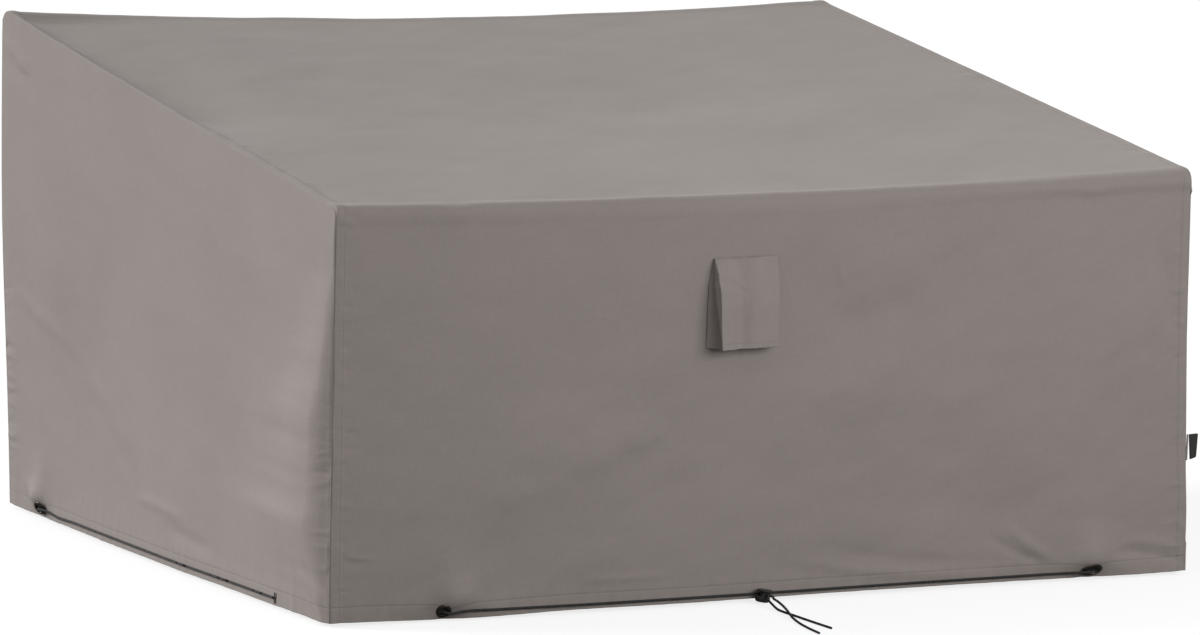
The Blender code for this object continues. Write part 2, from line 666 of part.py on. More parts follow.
def held_run(wall, seat, normal, stretch, toward, stop, ups, last):
    """A cord from an eyelet along the hem's outer face, at a changing height, to its last points."""
    start = out_of_eyelet(seat, normal, toward, stretch)
    first = (start[-1].x if wall.inward.y else start[-1].y) + (toward.x + toward.y) * 0.016
    middle = []
    for i in range(10):
        along = mix(first, stop, i / 9)
        middle.append(wall.off(along, mix(ups[0], ups[1], i / 9), CORD / 2 + RUN_CLEAR))
    points = spline(start + middle + last, CORD_STEPS)
    held = len(start) * CORD_STEPS
    return points[:held] + [wall.cleared(p, CORD / 2 + RUN_CLEAR) for p in points[held:]]


def make_front_cords(front, seats):
    """The drawstring's two held runs and its two free ends."""
    made = []
    for word, side in (("left", -1), ("right", 1)):
        seat, normal, stretch = seats[f"eyelet_front_{word}"]
        toward = Vector((-side, 0.0, 0.0))
        port = lock_port(word, PORT_GAP)
        turn_in = front.off(port.x + side * LOCK_TURN_IN, CORD_UP_AT_LOCK, CORD / 2 + RUN_CLEAR)
        last = [turn_in, lock_port(word, 0.0045), port]
        stop = port.x + side * LOCK_REACH
        points = held_run(front, seat, normal, stretch, toward, stop, (CORD_UP, CORD_UP_AT_LOCK), last)
        made.append(cord(f"drawstring_{word}", points, "cord_black"))
    for word, route in (("tail_one", TAIL_ONE), ("tail_two", TAIL_TWO)):
        points = spline([lock_port(word, PORT_GAP), lock_port(word, 0.0055)] + route, CORD_STEPS)
        made.append(cord(f"drawstring_{word}", points, "cord_black"))
    return made


def make_side_cord(word, wall, seat, normal, stretch):
    """A cord from the rear eyelet forward along the hem, sewn down by a bartack."""
    toward = Vector((0.0, -1.0, 0.0))
    end = SIDE_RUN_FRONT + BARTACK[0] / 2 + GAP
    last = [wall.off(end + 0.004, SIDE_CORD_UP, CORD / 2 + RUN_CLEAR),
            wall.off(end, SIDE_CORD_UP, CORD / 2 + RUN_CLEAR)]
    points = held_run(wall, seat, normal, stretch, toward, end + 0.030, (SIDE_CORD_UP, SIDE_CORD_UP), last)
    made = [cord(f"side_cord_{word}", points, "cord_black")]
    along, out, up = BARTACK
    face = wall.off(SIDE_RUN_FRONT, SIDE_CORD_UP, GAP + out / 2)
    made.append(rounded_block(f"bartack_{word}", face, (out, along, up), 0.0008, "tape_black"))
    return made


def rounded_block(name, centre, size, bevel, material):
    """A small block with its edges rounded off."""
    mesh = bpy.data.meshes.new(name)
    bm = bmesh.new()
    bmesh.ops.create_cube(bm, size=1.0)
    bmesh.ops.scale(bm, vec=size, verts=bm.verts)
    bmesh.ops.bevel(bm, geom=list(bm.edges), offset=bevel, segments=2, affect="EDGES")
    bmesh.ops.translate(bm, vec=centre, verts=bm.verts)
    return finish_mesh(name, mesh, bm, material)


def make_hood(front):
    """Flap and side gussets in one folded piece, sewn down at its top and sides, open below."""
    def row_points(row, inset, sewn_top):
        """One row around the hood from its left base to its right one: x and how far it stands off."""
        left, right = HOOD_LEFT + inset, HOOD_RIGHT - inset
        out_left, out_right = row.left - inset, row.right - inset
        if sewn_top:
            out_left = out_right = 0.0
        base_left, base_right = left - row.splay_left - SEAM_LIP, right + row.splay_right + SEAM_LIP
        points = [(base_left, 0.0), (mix(base_left, left, 0.5), out_left / 2)]
        for j in range(HOOD_COLUMNS + 1):
            across = j / HOOD_COLUMNS
            dish = 4.0 * HOOD_DISH * row.down * across * (1.0 - across)
            points.append((mix(left, right, across), max(0.0, mix(out_left, out_right, across) - dish)))
        return points + [(mix(base_right, right, 0.5), out_right / 2), (base_right, 0.0)]

    def grid(inset):
        rows = []
        for k, row in enumerate([HOOD_ROWS[0]] + HOOD_ROWS):
            z = mix(HOOD_TOP, HOOD_BOTTOM, row.down) - inset * (1.0 - row.down)
            z += HOOD_TOP_LIP if k == 0 else 0.0
            placed = []
            for x, out in row_points(row, inset, k == 0):
                turn = 2.0 * (x - HOOD_LEFT) / (HOOD_RIGHT - HOOD_LEFT) - 1.0
                height = z + HOOD_SKEW * turn * (1.0 - 0.6 * row.down)
                placed.append((x, front.off(x, height, 2 * GAP).y - out, height))
            rows.append(placed)
        return rows
    return sheet_solid("vent_hood", grid(0.0), grid(CLOTH), "cloth")


def make_tab(right):
    """A short cloth strip in the right front seam, and the folded tape that it holds."""
    near = [right.face(TAB_DEPTH + d, z) for d in (-STRIP_THICK / 2, STRIP_THICK / 2) for _, z in STRIP]
    face = max(point.x for point in near) + GAP
    return [plate("tab_strip", face, STRIP, STRIP_THICK, 0.0006, "cloth"),
            plate("tab_tape", face, TAPE, TAPE_THICK, 0.0010, "tape_black")]


def plate(name, left, outline, thick, bevel, material):
    """A flat piece facing the front, its outline given from a left edge and the hem, edges rounded."""
    mesh = bpy.data.meshes.new(name)
    bm = bmesh.new()
    near = [bm.verts.new((left + x, TAB_DEPTH - thick / 2, z)) for x, z in outline]
    far = [bm.verts.new((left + x, TAB_DEPTH + thick / 2, z)) for x, z in outline]
    bm.faces.new(near)
    bm.faces.new(reversed(far))
    for k in range(len(outline)):
        n = (k + 1) % len(outline)
        bm.faces.new((near[n], near[k], far[k], far[n]))
    bmesh.ops.bevel(bm, geom=list(bm.edges), offset=bevel, segments=2, affect="EDGES")
    return finish_mesh(name, mesh, bm, material)


def main():
    for obj in list(bpy.data.objects):
        bpy.data.objects.remove(obj, do_unlink=True)
    MADE.update(make_materials())
    placed = bpy.data.objects.new("cover_place", None)
    placed.location = (-PLAN_CENTRE[0], -PLAN_CENTRE[1], HEM_CLEAR)
    bpy.context.scene.collection.objects.link(placed)

    panel = make_main_panel()
    sides = {"left": make_side_panel(-1), "right": make_side_panel(1)}
    walls = {"front": Wall("front", panel), "left": Wall("left", sides["left"]),
             "right": Wall("right", sides["right"])}
    pieces = [panel, *sides.values()]
    seats = {}
    for e in EYELETS:
        ring, seat, normal = make_eyelet(e, walls[e.wall])
        seats[e.name] = (seat, normal, e.stretch)
        pieces.append(ring)
    pieces += make_cord_lock()
    pieces += make_front_cords(walls["front"], seats)
    for word in ("left", "right"):
        pieces += make_side_cord(word, walls[word], *seats[f"eyelet_side_{word}"])
    pieces.append(make_hood(walls["front"]))
    pieces += make_tab(walls["right"])
    for obj in pieces:
        obj.parent = placed


MADE = {}
main()
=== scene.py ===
"""Looks of the garden sofa cover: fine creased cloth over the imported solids, with its seams and hem,
the vent hood, eyelets, drawstring, cord lock and side tab. Metres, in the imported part's own frame.
"""
import math

import bmesh
import bpy
import numpy as np
from mathutils import Matrix, Vector
from mathutils.bvhtree import BVHTree


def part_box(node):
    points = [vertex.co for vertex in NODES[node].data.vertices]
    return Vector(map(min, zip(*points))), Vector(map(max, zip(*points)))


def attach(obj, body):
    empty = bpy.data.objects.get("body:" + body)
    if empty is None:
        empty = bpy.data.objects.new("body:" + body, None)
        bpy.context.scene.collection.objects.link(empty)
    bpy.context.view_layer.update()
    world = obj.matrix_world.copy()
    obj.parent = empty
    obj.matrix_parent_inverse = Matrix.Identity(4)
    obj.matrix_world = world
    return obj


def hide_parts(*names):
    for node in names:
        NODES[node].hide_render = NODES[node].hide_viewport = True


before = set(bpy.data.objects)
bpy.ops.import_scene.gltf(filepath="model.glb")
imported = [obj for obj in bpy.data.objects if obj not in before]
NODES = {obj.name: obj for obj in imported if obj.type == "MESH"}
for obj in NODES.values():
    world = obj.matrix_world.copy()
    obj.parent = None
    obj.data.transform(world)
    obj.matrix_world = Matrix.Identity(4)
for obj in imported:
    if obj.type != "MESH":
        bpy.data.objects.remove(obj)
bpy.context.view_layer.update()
BODY = "cover"

# ---- reading the solids -------------------------------------------------------------------------
RAY_FAR = 0.9                # a ray looks back from this far out,
RAY_BACK = 1.5               # and sees this many times that far
INSET = 0.030                # the main panel's rays start this far inside its faces,
RAY_REACH = 0.120            # look back from this far out,
LATTICE = 0.012              # and are this far apart,
LEAST_KNOTS = 13             # but at least this many run along each leg
EDGE_MARGIN = 0.004          # the outermost rays are this far in from its edges
WALL_READ = 0.008            # the side walls are read this far under its faces
EDGE_BACK = 0.0017           # its edges lie this far in from the side panels' outer faces
EDGE_COVERED = 0.0009        # the side panels' front and back edges lie this far outside its own,
EDGE_DRAWN = 0.012           # and their faces are drawn there over this half width
SEAM_EXTRA = 0.001           # the solids' seam bands stand this much prouder,
SEAM_SOLID = 0.019           # over this much beside the seams
HEM_FALL = 0.014             # a solid's hem edge lies within this height of its lowest point
HEM_FREE = 0.045             # the side walls are clear of their thicker hems above this height,
HEM_TREND = 0.12             # and show their slope over this much more
HEM_READ = 0.0003            # the lowest rays run this far above the hem's edge
SMOOTH_WIDE = 0.022          # the solids' flat facets are evened out over this length,
SMOOTH_TIGHT = 0.007         # and over this one beside the hem and the eyelets,
EYELET_PULL = 0.070          # which passes into the other over this distance,
EYELET_REACH = 1.6           # as far as this many of them from an eyelet's middle
CORNER_EVEN = 0.060          # the folds' lines are evened out over this length,
TURN_EVEN = 1.5              # and the turns over this many rays
FOLD_SHARES = (0.04, 0.96)   # shares of the width between which the folds' lines are read
FRONT_READ = (0.30, 0.50)    # heights where the front and back faces are read for their lines
BACK_READ = (0.30, 0.62)
TOP_READ = 0.090             # and how far from the folds the top is
SIDE_READ = 0.992            # share of a side panel that the rays cover
SPOT_ROUNDS = 4              # a side panel's places are settled in this many rounds
FRONT_EYELETS = ("eyelet_front_left", "eyelet_front_right")
OUTWARD = {"left": (-1, 0, 0), "right": (1, 0, 0)}

# ---- grids --------------------------------------------------------------------------------------
SHEET = 0.0012               # thickness of the cloth pieces
# lengths over the cloth, near enough to space rays and grid lines by
LEG_LENGTHS = {"front": 0.55, "front_turn": 0.025, "top": 1.02, "back_turn": 0.025, "back": 0.70}
FRONT_TALL = 0.545
BACK_TALL = 0.70
TOP_DEEP = 1.0
SIDE_TALL = 0.62
SIDE_DEEP = 1.0
# the closer grid lines beside a seam, at a hem, and at the side panels' upper edge
EDGE_PLACES = (0.0, 0.0002, 0.0005, 0.0010, 0.0016, 0.0023, 0.0031, 0.0040, 0.0049, 0.0058, 0.0068,
               0.0078, 0.0088, 0.0098, 0.0108, 0.0118, 0.0128, 0.0137, 0.0146, 0.0155, 0.0165,
               0.0178, 0.0200, 0.0230)
HEM_PLACES = (0.0, 0.0002, 0.0005, 0.0010, 0.0018, 0.0030, 0.0050, 0.0075, 0.0100, 0.0125, 0.0150,
              0.0175, 0.0195, 0.0207, 0.0217, 0.0226, 0.0235, 0.0245, 0.0258, 0.0275, 0.0300)
ROLL_PLACES = HEM_PLACES[:6]
MAIN_PITCH = 0.0046          # grid lines elsewhere: across the main panel,
FRONT_PITCH = 0.0028         # up its front,
TOP_PITCH = 0.0055           # top and back,
BACK_PITCH = 0.0070
SIDE_PITCH = 0.0045          # across and up the left side,
SIDE_UP_PITCH = 0.0029
FAR_PITCH = 0.0070           # and the right side, which the photograph doesn't show
FAR_UP_PITCH = 0.0050
TURN_STEPS = 12
INNER_STEP = 3               # the inner face has every third point
FRONT_ONTO_TOP = 7           # rows of the top that are made with the front, and of it with the back

# ---- sewing -------------------------------------------------------------------------------------
ROLL_FELLED = 0.0018         # radius of the main panel's folded edges, which is padded by its seam,
ROLL_PLAIN = 0.0009          # and of the side panels'
EDGE_STILL = 0.003           # creases die away this near the side seams
BAND = 0.0160                # width of the felled band beside the main panel's edges,
BAND_RISE = 0.0007           # its height,
BAND_STEP = 0.0016           # and the width of its step
RUNG_PITCH = 0.0060          # spacing, height and half length of the small rungs across it
RUNG_RISE = 0.00045
RUNG_HALF = BAND / 3.2
BAND_STITCH = 0.0142         # its row of stitches, from the edge
HEM_STITCH = 0.0218          # and the hem's, from its lower edge
GROOVE = 0.00045             # depth and half width that a row of stitches is drawn in
GROOVE_HALF = 0.0009
STITCH_PITCH = 0.0032
STITCH_LONG = 0.0025
STITCH_THICK = 0.00055
STITCH_LIFT = 0.0001
TANGENT_STEP = 0.0005        # a row's direction is taken over this much to both sides

# ---- listed creases: (along, up) from, (along, up) to, half width, height, bend ------------------
FRONT_CREASES = [
    ((0.367, 0.178), (0.516, 0.266), 0.020, 0.0022, 0.006),
    ((0.330, 0.205), (0.470, 0.300), 0.016, -0.0012, 0.006),
    ((0.250, 0.150), (0.310, 0.184), 0.014, 0.0010, 0.0),
    ((0.455, 0.212), (0.525, 0.250), 0.011, 0.0010, 0.0),
    ((0.740, 0.265), (0.832, 0.305), 0.016, 0.0013, 0.0),
    ((0.940, 0.250), (1.060, 0.286), 0.018, 0.0013, 0.004),
    ((0.780, 0.350), (0.940, 0.430), 0.030, -0.0030, 0.0),
    ((0.365, 0.040), (0.543, 0.041), 0.005, 0.0008, 0.0),
    ((1.066, 0.088), (1.173, 0.025), 0.007, 0.0016, -0.006),
    ((1.040, 0.072), (1.150, 0.022), 0.006, -0.0012, -0.004),
    ((0.687, 0.059), (1.079, 0.013), 0.007, 0.0010, -0.012),
    ((0.720, 0.078), (1.100, 0.030), 0.008, -0.0008, -0.012),
    ((1.249, 0.037), (1.397, 0.010), 0.006, -0.0014, 0.006),
    ((1.270, 0.052), (1.397, 0.030), 0.006, 0.0010, 0.004),
    ((1.365, 0.072), (1.404, 0.054), 0.005, 0.0010, 0.0),
    ((1.332, 0.490), (1.360, 0.327), 0.012, -0.0018, 0.004),
    ((1.306, 0.480), (1.334, 0.330), 0.012, 0.0010, 0.004),
    ((0.796, 0.490), (0.800, 0.430), 0.006, 0.0009, 0.0),
    ((0.207, 0.020), (0.207, 0.070), 0.012, 0.0012, 0.0),
    ((0.012, 0.094), (0.075, 0.088), 0.003, 0.0007, -0.003),
    ((0.012, 0.084), (0.060, 0.080), 0.005, -0.0006, 0.0),
]
LEFT_CREASES = [   # along from the front seam here
    ((1.022, 0.330), (0.765, 0.247), 0.012, 0.0012, 0.006),
    ((0.780, 0.252), (0.579, 0.110), 0.014, 0.0014, 0.010),
    ((0.800, 0.222), (0.600, 0.088), 0.014, -0.0010, 0.010),
    ((0.992, 0.044), (0.893, 0.030), 0.010, 0.0014, 0.0),
    ((0.621, 0.080), (0.421, 0.072), 0.007, 0.0010, 0.004),
    ((0.511, 0.057), (0.330, 0.040), 0.009, -0.0014, 0.0),
    ((1.043, 0.699), (0.928, 0.639), 0.010, 0.0012, 0.004),
    ((1.043, 0.680), (0.900, 0.600), 0.012, -0.0008, 0.006),
    ((0.071, 0.084), (0.004, 0.030), 0.006, -0.0010, 0.0),
    ((0.085, 0.072), (0.010, 0.018), 0.006, 0.0009, 0.0),
]
TOP_CREASES = [    # up is measured back from the front fold here
    ((0.004, 0.900), (0.060, 0.358), 0.020, -0.0020, 0.0),
    ((0.031, 0.133), (0.014, 0.006), 0.005, -0.0009, 0.0),
    ((0.050, 0.120), (0.040, 0.006), 0.005, 0.0008, 0.0),
    ((1.369, 0.327), (1.404, 0.059), 0.007, 0.0010, 0.0),
    ((1.350, 0.327), (1.384, 0.059), 0.009, -0.0010, 0.0),
    ((0.700, 0.470), (0.860, 0.450), 0.040, -0.0016, 0.0),
    ((0.680, 0.800), (0.820, 0.790), 0.030, -0.0012, 0.0),
]
CORNER_TUCKS = [   # at the front's upper left corner; up is measured from the front fold
    ((0.003, 0.001), (0.046, -0.004), 0.0028, 0.0012, 0.0),
    ((0.003, -0.008), (0.041, -0.011), 0.0026, -0.0015, 0.0),
    ((0.003, -0.016), (0.030, -0.021), 0.0030, 0.0010, 0.0),
]
FRONT_DEPTH = 1.5            # the front's and the left side's creases are this much deeper than listed
SIDE_DEPTH = 1.8
CREASE_REACH = 3.0           # a crease is worked out over this many half widths beside its line,
CREASE_MARGIN = 0.02         # and this much more
CREASE_FADE = 0.35
FOLD_SHARPER = 0.0028        # the front fold stands this much prouder than the solid's round one,
FOLD_HALF = 0.0085           # over this half width
TROUGH = 0.008               # the top sinks beside its left seam, most this far from it,
TROUGH_WIDE = 0.050
TROUGH_FROM = 0.30           # from this far behind the front fold,
TROUGH_GROWS = 0.20          # growing over this much, as far as the back fold
TROUGH_ENDS = 0.05
SIDE_TURN = [                # the left side turns in to its front seam: height up, swell, distance
    (0.00, 0.0040, 0.016), (0.04, 0.0075, 0.022), (0.14, 0.0190, 0.050), (0.25, 0.0160, 0.037),
    (0.37, 0.0100, 0.026), (0.48, 0.0015, 0.012), (0.56, 0.0000, 0.012)]
SIDE_WANDER = [(0.19, 0.10), (0.083, 0.04), (0.047, 0.015), (0.026, 0.006)]  # length, share
SIDE_FALL = 2.2              # beyond its crest the swell falls to a half over this many distances

# ---- seeded creases -----------------------------------------------------------------------------
MAIN_SEED = 11
LEFT_SEED = 5
RIGHT_SEED = 8
# waves: mean angle and its spread in degrees, count, shortest and longest length, slope
MAIN_WAVES = [(12.0, 24.0, 26, 0.05, 0.30, 0.040), (28.0, 13.0, 18, 0.012, 0.05, 0.034)]
MAIN_BROAD = (80.0, 14.0, 8, 0.09, 0.35, 0.008)
SIDE_WAVES = [(28.0, 18.0, 22, 0.05, 0.28, 0.022), (8.0, 10.0, 14, 0.02, 0.07, 0.010)]
SIDE_BROAD = (85.0, 12.0, 8, 0.09, 0.35, 0.004)
TOP_CALM = 0.40              # share of the front's waves that the top and the back have,
CALM_FROM = 0.01             # which they pass into from this far behind the front fold
CALM_OVER = 0.04
DRIFT = 1.1                  # radians that a wave's crests wander by, over this many of its lengths
DRIFT_LONG = 2.5
DRIFT_PHASE = 3.0
# puckers: count, reach, half width, height
FRONT_PUCKERS = (46, 0.030, 0.0028, 0.0007)
TOP_PUCKERS = (60, 0.026, 0.0030, 0.0006)
BACK_PUCKERS = (40, 0.026, 0.0030, 0.0006)
RIGHT_EDGE_PUCKERS = (70, 0.045, 0.0030, 0.0007)
LEFT_EDGE_PUCKERS = (60, 0.050, 0.0030, 0.0010)
RIGHT_EDGE_TO = 0.90         # share of the height that a side panel's puckers reach at each edge
LEFT_EDGE_TO = 0.60
SEAM_CLEAR = 0.012           # they keep this far from the main panel's edges, the folds and the hems
FOLD_CLEAR = 0.02
HEM_CLEAR = 0.03
PUCKER_TURN = 9.0            # degrees
PUCKER_LONG = (0.45, 1.3)    # shares of a pucker's reach, height and half width
PUCKER_TALL = (0.35, 1.0)
PUCKER_WIDE = (0.7, 1.5)
PUCKER_BEHIND = 0.45         # share of its reach on the other side of its foot
PUCKER_BEND = 0.06
PUCKER_FADE = 0.48
# ripples: shortest and longest length, height, rise
FRONT_RIPPLES = (0.018, 0.060, 0.0007, 0.030)
BACK_RIPPLES = (0.022, 0.090, 0.0012, 0.035)
SIDE_RIPPLES = (0.020, 0.080, 0.0008, 0.030)
RIPPLES = 9
RIPPLE_FOOT = 0.006          # they are full up to this height, and come in groups this far apart
RIPPLE_GROUPS = (0.16, 0.45)
RIPPLE_PHASE = 5.0

# ---- vent hood, eyelets and bartacks ------------------------------------------------------------
HOOD_VOXEL = 0.00085
TAB_VOXEL = 0.00035
HOOD_ROUNDS = 4              # rounds of softening
TAB_ROUNDS = 3
SOFTENING = 0.5
MERGED = 0.00002             # points of a solid this near each other are one
HOOD_MIDDLE = (-0.051, 0.420)  # x and z that the flap's relief is measured from
HOOD_STANDS = (0.036, 0.003)   # how far the flap stands off below and above
HOOD_TUCK = 0.24             # the gussets are drawn in by this share of that,
HOOD_GUSSET = 0.039          # from this far beside the middle
HOOD_GUSSET_OVER = 0.006
FLAP_FROM = 0.55             # the flap's relief begins at this share of the way out,
FLAP_OVER = 0.3              # and grows over this one
HOOD_WAVES = [(-0.013, 0.010, -0.0034), (0.016, 0.011, 0.0026)]   # x, half width, rise
HOOD_PINCHES = [             # at the flap's upper left: height, lean, half width, rise
    (0.046, -0.25, 0.0035, 0.0008), (0.034, -0.10, 0.0040, -0.0009), (0.022, 0.10, 0.0045, 0.0006)]
PINCH_FROM = -0.045          # x where the pinches start, their bend, and where they end
PINCH_BEND = 6.0
PINCH_TO = 0.012
PINCH_FADE = 0.04
FLAP_RIPPLE = 0.0006         # height and length of the ripples across the flap, which end above
FLAP_RIPPLE_LONG = 0.031
FLAP_RIPPLE_TO = 0.02
FLAP_RIPPLE_FADE = 0.05
FLARE = 0.0016               # the flap's lower right corner flares by this, about this place
FLARE_PLACE = (0.050, -0.060)
FLARE_HALF = 0.020
FLAP_HEM = 0.009             # the flap's row of stitches, above its edge and in from its sides
FLAP_HEM_IN = 0.014
FLAP_HEM_POINTS = 60
EYELET_SIDES = 48
EYELET_PROFILE = [  # share of the outer radius, height in metres; from the outer rim to the bore, and on to the middle, which closes the hole with a flat disc of painted shade
    (0.99, -0.0006), (1.00, 0.0000), (0.985, 0.0005), (0.93, 0.0010), (0.85, 0.0015), (0.76, 0.0019),
    (0.68, 0.0021), (0.64, 0.0020), (0.61, 0.0017), (0.595, 0.0013), (0.585, 0.0010), (0.58, 0.0008),
    (0.0, 0.0008)]
EYELET_TOP = 0.0021          # the profile's greatest height
EYELET_SHADE_FROM = 9              # spans of the profile from here on are painted shade: the bore and a flat disc across the hole
SATIN_PITCH = 0.0004         # a bartack's threads: spacing, thickness, how deep they lie,
SATIN_THICK = 0.0009
SATIN_DEEP = 0.0004
SATIN_IN = 0.0003            # and how far in from its ends

# ---- cords --------------------------------------------------------------------------------------
CORD = 0.0035
CORD_SIDES = 10
CORD_STEP = 0.0025           # points of a held cord's centreline are this far apart,
HELD_REACH = 0.0030          # and evened out over this length
CORD_END = 0.0006            # a held cord's ends are read over this much of its solid
CORD_ACROSS = (0.31, 0.17, 0.93)   # a direction that no cord starts in

# drawstring tails: points on the middle line, from the lock's neck to the bare end
TAIL_ONE = [(-0.0112, -0.0487, 0.0046), (-0.0134, -0.0640, 0.0032), (-0.0180, -0.0830, 0.0020),
            (-0.0245, -0.1030, 0.0012), (-0.0312, -0.1218, 0.0002), (-0.0410, -0.1500, -0.0024),
            (-0.0496, -0.1830, -0.0040), (-0.0580, -0.2230, -0.0040), (-0.0630, -0.2590, -0.0040)]
TAIL_TWO = [(-0.0216, -0.0515, 0.0046), (-0.0246, -0.0682, 0.0004), (-0.0265, -0.0860, -0.0032),
            (-0.0271, -0.1080, -0.0040), (-0.0270, -0.1305, -0.0040), (-0.0275, -0.1622, -0.0040),
            (-0.0276, -0.1965, -0.0040), (-0.0273, -0.2320, -0.0040)]
TAIL_STEPS = 8
TO_FRAME = Vector((0.002, -0.495, 0.006))
LOCK_FOOT = Vector((-0.0152, -0.0290, -0.0038))
LOCK_LEAN = math.radians(8)
NECK_RADIUS = 0.0076
CORD_PORT_UP = 0.0104        # height of the ports on the lock, and their angles in degrees
PORTS = {"tail_one": -66, "tail_two": -100}
PORT_OUT = (0.0004, 0.0055)  # a tail's first two points, outside the neck

# ---- camera and light ---------------------------------------------------------------------------
CAMERA_LENS = 210.0
CAMERA_SENSOR = 36.0
CAMERA_PLACE = Vector((-4.9741, -8.7826, 1.721))
CAMERA_AZIMUTH = math.radians(-29.5514)
CAMERA_ELEVATION = math.radians(7.8390)
CAMERA_ROLL = math.radians(2.0224)
WORLD_LIGHT = 0.50           # on the cover; the camera sees plain white
FLOOR = 60.0
FLOOR_GLOW = 0.80
FLOOR_DARK = (0.64, 0.44)    # half width and depth of the unlit floor inside the cover
SUN_FROM = (-0.60, 0.38, 0.33)
SUN_LIGHT = 3.8
SUN_SOFTNESS = math.radians(26)
FILL_PLACE = Vector((0.75, -3.00, 1.30))
FILL_AIM = Vector((0.10, -0.5, 0.35))
FILL_SIZE = (2.4, 1.2)
FILL_WATTS = 56.0

# ---- colours and weave --------------------------------------------------------------------------
CLOTH_COLOR = (0.215, 0.188, 0.174)
THREAD_COLOR = (0.165, 0.148, 0.138)
CORD_COLOR = (0.012, 0.011, 0.010)
METAL_COLOR = (0.055, 0.046, 0.037)
PLASTIC_COLOR = (0.016, 0.016, 0.015)
TAPE_COLOR = (0.018, 0.016, 0.013)
# painted shade: near-black of an eyelet's bore and of the disc that stands for the shaded hole
HOLE_SHADE_COLOR = (0.006, 0.006, 0.006)
FLOOR_COLOR = (0.22, 0.22, 0.22)
WEAVE_PITCH = 0.0011
RIB_PITCH = 0.0009
BRAID_PITCH = 0.0012         # of the cord's strands, which cross at this angle to its length
BRAID_LEAN = math.radians(38)
YARN_SCALES = [(900.0, 45.0, 1.0), (45.0, 900.0, 1.0)]   # of the noise across and along the yarns
WAVE_RADIANS = 20.0          # a wave texture turns by this much over one unit, at scale 1


# ---- small helpers ------------------------------------------------------------------------------
LN_2 = 0.693


def mix(a, b, share):
    return a + (b - a) * share


def smooth(t):
    t = np.clip(t, 0.0, 1.0)
    return t * t * (3.0 - 2.0 * t)


def bell(off, half):
    """A smooth bump of height 1 that falls to a half at that distance."""
    return np.exp(-LN_2 * (off / half) ** 2)


def arch(t):
    """A hump that is 1 halfway from 0 to 1, and 0 at both."""
    return 4.0 * t * (1.0 - t)


def wave(place, length, phase=0.0):
    return np.sin(place / length * math.tau + phase)


def unit(vectors):
    return vectors / np.maximum(np.linalg.norm(vectors, axis=-1, keepdims=True), 1e-12)


def turns(sides):
    """The angles of evenly spaced points around a circle."""
    return [math.tau * s / sides for s in range(sides)]


def placed(name, data):
    """A new object in the scene with that data."""
    made = bpy.data.objects.new(name, data)
    bpy.context.scene.collection.objects.link(made)
    return made


def link(name, mesh, materials):
    for material in materials:
        mesh.materials.append(material)
    return placed(name, mesh)


def shade_smooth(mesh):
    mesh.polygons.foreach_set("use_smooth", [True] * len(mesh.polygons))


def corner_vertices(mesh):
    """The number of the vertex at each of the mesh's corners."""
    numbers = np.zeros(len(mesh.loops), int)
    mesh.loops.foreach_get("vertex_index", numbers)
    return numbers


def set_uv(mesh, name, places):
    """Gives each vertex's (u, v) to all its corners."""
    layer = mesh.uv_layers.new(name=name)
    layer.data.foreach_set("uv", places[corner_vertices(mesh)].astype(np.float32).ravel())


def meshed(name, points, faces, materials, uv=None):
    """A smooth-shaded object, with a UV map where its name and each point's place are given."""
    mesh = bpy.data.meshes.new(name)
    mesh.from_pydata([tuple(p) for p in points], [], faces)
    if uv is not None:
        set_uv(mesh, *uv)
    shade_smooth(mesh)
    return link(name, mesh, materials)


def ring_faces(rings, sides, base=0):
    """Faces between rings of points, which are numbered on from base."""
    starts = [base + k * sides for k in range(rings)]
    return [(a + s, a + (s + 1) % sides, b + (s + 1) % sides, b + s)
            for a, b in zip(starts, starts[1:]) for s in range(sides)]


